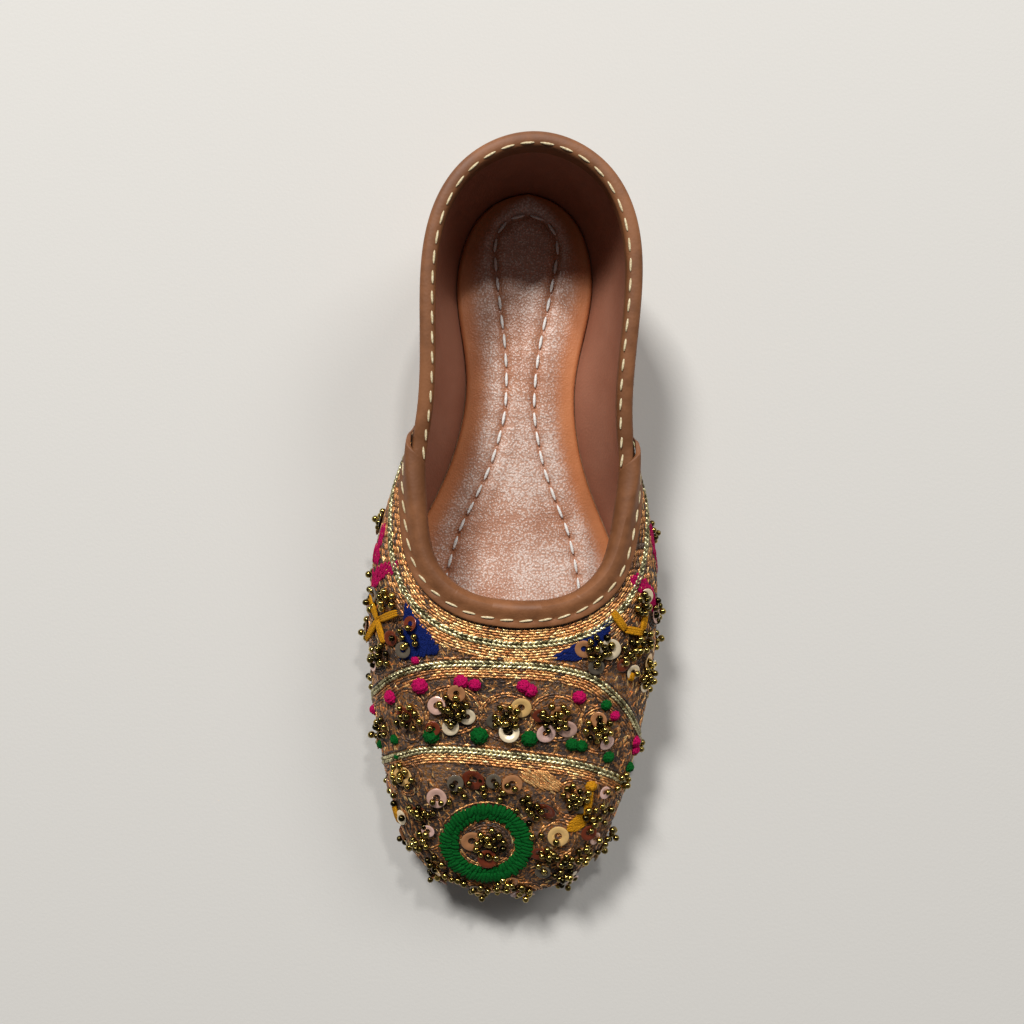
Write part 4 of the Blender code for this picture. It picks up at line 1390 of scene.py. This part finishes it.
foil_finish = Finish("sequin_foil", Coat_Weight=0.5, Coat_Roughness=0.10, Metallic=0.30)
place = foil_finish.place
shade = foil_finish.kept("shade")
FOILS = (
    (0.0, (0.84, 0.52, 0.190)),
    (0.14, (0.84, 0.68, 0.45)),
    (0.28, (0.88, 0.56, 0.47)),
    (0.42, (0.68, 0.41, 0.32)),
    (0.57, (0.52, 0.23, 0.095)),
    (0.71, (0.20, 0.036, 0.012)),
    (0.85, (0.15, 0.12, 0.085)),
)
foil_finish.feed("Base Color", shade.ramp(FOILS, "CONSTANT"))
foil_finish.feed("Roughness", 0.20 + place.noise(500.0) * 0.18)
foil_finish.bump(place.noise(200.0, 2.0), 0.0006, 0.5)


def sequin_form(around=22):
    """A thin ring of diameter one, a little cupped."""
    profile = (
        (SEQUIN_HOLE / 2, 0.0),
        (0.30, SEQUIN_CUP * 0.4),
        (0.46, SEQUIN_CUP),
        (0.50, SEQUIN_CUP + 0.02),
        (0.46, SEQUIN_CUP + SEQUIN_THICKNESS),
        (0.30, SEQUIN_CUP * 0.4 + SEQUIN_THICKNESS),
        (SEQUIN_HOLE / 2, SEQUIN_THICKNESS),
    )
    points = []
    for j in range(around):
        spin = math.tau * j / around
        for radius, height in profile:
            points.append((radius * math.cos(spin), radius * math.sin(spin), height))
    return np.array(points), [face[::-1] for face in grid_faces(around, len(profile), True)]


sequins = Pile()
for colour, across, along, wide in SEQUINS:
    centre, normal = dropped((across, along))
    tilt = normal[0] + rng.normal(0, 0.15, 3)
    lift = rng.uniform(0.0007, 0.0014)
    turned = rng.normal(0, 1, 3)
    sequins.add(centre[0] + normal[0] * lift, turned, tilt, wide / 1000, colour)
for i, (turn, climb) in enumerate(side_places):
    centre, up, run, _ = side_spot(turn, climb)
    for k in range(2):
        shift = (up * rng.uniform(-1, 1) + run * rng.uniform(-1, 1)) * SIDE_SEQUIN_SHIFT
        at, out = settled([centre + shift])
        colour = (GOLD, CREAM, PINK, BLUSH, COPPER, RUST, GREY)[(i * 2 + k) % 7]
        tilt = out[0] + rng.normal(0, 0.08, 3)
        sequins.add(at[0] + out[0] * (0.0007 + 0.0003 * k), run, tilt, SIDE_SEQUIN, colour)
sequins.make("sequins", sequin_form(), foil_finish)

# Beads: round bronze-gold metal beads sewn through the cloth, piled in the middle of each
# flower, set in pairs and threes round the toe ring, and strung along the sides.
BEAD = 0.0023
PILE_TRIES = 600
SIDE_BEADS = 7
SIDE_SPREAD = 0.0034
FOOT_BEAD_STEP = 0.0046
FOOT_BEAD_CLIMB = 0.20
# centre across and along in millimetres, number of beads, spread in millimetres
BEAD_CLUSTERS = (
    (-32.6, -59.4, 10, 4.4), (-18.6, -55.6, 15, 4.6), (-1.4, -57.6, 15, 4.6),
    (14.0, -56.6, 15, 4.4), (27.8, -60.6, 13, 4.4), (-33.6, -79.4, 12, 3.8),
    (21.8, -83.2, 15, 4.2), (26.2, -34.4, 13, 4.2), (36.4, -35.4, 12, 3.4),
    (39.0, -20.6, 11, 3.4), (-33.2, -33.4, 10, 3.4), (-40.2, -22.6, 9, 3.6),
    (-5.0, -100.8, 15, 5.2), (28.6, -89.6, 10, 3.6), (-27.4, -101.6, 9, 3.4),
    (19.6, -105.4, 7, 3.0), (36.6, -78.6, 8, 3.2), (-40.4, -64.6, 7, 3.0),
    (42.4, -44.6, 9, 3.2), (33.8, -98.8, 7, 2.8), (8.2, -88.4, 5, 2.6), (-28.4, -90.6, 7, 3.0),
    (24.6, -104.4, 8, 3.4), (19.6, -111.0, 6, 3.0), (-22.4, -108.6, 6, 2.8),
    (0.6, -115.4, 6, 2.8), (13.6, -104.0, 5, 2.4), (-41.2, -40.6, 9, 3.4),
    (41.0, -32.8, 9, 3.4),
)
# single beads across and along in millimetres
BEADS = (
    ((-15.4, -82.2), (-13.8, -84.8), (-17.2, -83.4), (-8.6, -78.8), (-8.0, -81.4))
    + ((-7.4, -84.0), (-0.2, -80.5), (-1.5, -82.9), (-2.4, -85.3), (5.0, -85.5))
    + ((3.2, -88.8), (6.6, -84.2), (9.8, -91.1), (7.4, -93.1), (11.6, -97.0), (8.6, -97.6))
    + ((15.0, -103.2), (11.9, -102.9), (11.3, -108.0), (13.4, -110.3), (9.0, -118.0))
    + ((3.8, -117.0), (-18.8, -113.7), (-16.6, -114.8), (-12.5, -116.1), (-14.6, -115.0))
    + ((-26.2, -96.0), (-23.5, -91.1), (-21.1, -87.3), (-18.6, -86.8), (-25.2, -91.8))
    + ((21.4, -106.9), (-2.0, -117.4), (6.4, -116.4), (-36.2, -87.4), (-36.0, -90.4))
    + ((24.0, -103.0), (26.6, -101.0), (31.8, -92.8), (33.6, -88.4), (30.4, -104.0))
)

bead_finish = Finish("bead_metal", Metallic=1.0)
place = bead_finish.place
shade = bead_finish.kept("shade")
tarnish = place.noise(700.0, 2.0)
bead_finish.feed("Base Color", shade.blend((0.040, 0.031, 0.012), (0.58, 0.42, 0.11)))
bead_finish.feed("Roughness", 0.08 + tarnish * 0.10)
bead_finish.bump(tarnish, 0.0001, 0.4)

beads = Pile()


def string_beads(at, normal):
    count = len(at)
    size = BEAD * rng.uniform(0.88, 1.14, (count, 1)) * np.array((0.92, 1.0, 1.0))
    shade = np.clip(rng.normal(0.42, 0.28, count), 0, 1)
    beads.add(at, rng.normal(0, 1, (count, 3)), normal, size, shade)


def bead_pile(centre, normal, count, spread, lift=0.75):
    """Beads heaped about a centre, the middle ones on top."""
    side = unit(np.cross(normal, (0.2, 1.0, 0.1)))
    fore = np.cross(normal, side)
    placed = []
    for _ in range(PILE_TRIES):
        if len(placed) == count:
            break
        radius = spread * math.sqrt(rng.uniform())
        spin = rng.uniform(0, math.tau)
        level = 1 if radius < spread * 0.45 and len(placed) > count * 0.6 else 0
        spot = np.array((radius * math.cos(spin), radius * math.sin(spin), level * BEAD * 0.8))
        if all(np.linalg.norm(spot - other) > BEAD * 0.93 for other in placed):
            placed.append(spot)
    spots = np.array(placed)
    at, out = settled(centre + spots[:, :1] * side + spots[:, 1:2] * fore)
    string_beads(at + out * (BEAD * lift + spots[:, 2:]), out)


for across, along, count, spread in BEAD_CLUSTERS:
    centre, normal = dropped((across, along))
    bead_pile(centre[0], normal[0], count, spread / 1000)
at, normal = dropped(np.array(BEADS))
string_beads(at + normal * BEAD * 0.5, normal)
# One bead holds each sequin, off its middle towards the flower it belongs to
flowers = np.array([cluster[:2] for cluster in BEAD_CLUSTERS])
for _, across, along, wide in SEQUINS:
    to_flower = flowers - (across, along)
    nearest = to_flower[np.argmin(np.linalg.norm(to_flower, axis=1))]
    shift = unit(nearest) * min(np.linalg.norm(nearest), 0.22 * wide)
    at, normal = dropped((across + shift[0], along + shift[1]))
    string_beads(at + normal * (BEAD * 0.5 + 0.0010), normal)
for turn, climb in side_places:
    centre, _, _, normal = side_spot(turn, climb)
    bead_pile(centre, normal, SIDE_BEADS, SIDE_SPREAD, 0.5)
# A row of single beads a little above the sole, round the whole front
foot_turns = np.linspace(seam_foot + 0.03, 1 - seam_foot - 0.03, 600)
foot_line = pushed(foot_turns, FOOT_BEAD_CLIMB, COVER_OUT)
here, _ = resample(foot_line, FOOT_BEAD_STEP)
at, normal = settled(here)
string_beads(at + normal * BEAD * 0.38, normal)
beads.make("beads", oval(10, 7), bead_finish)
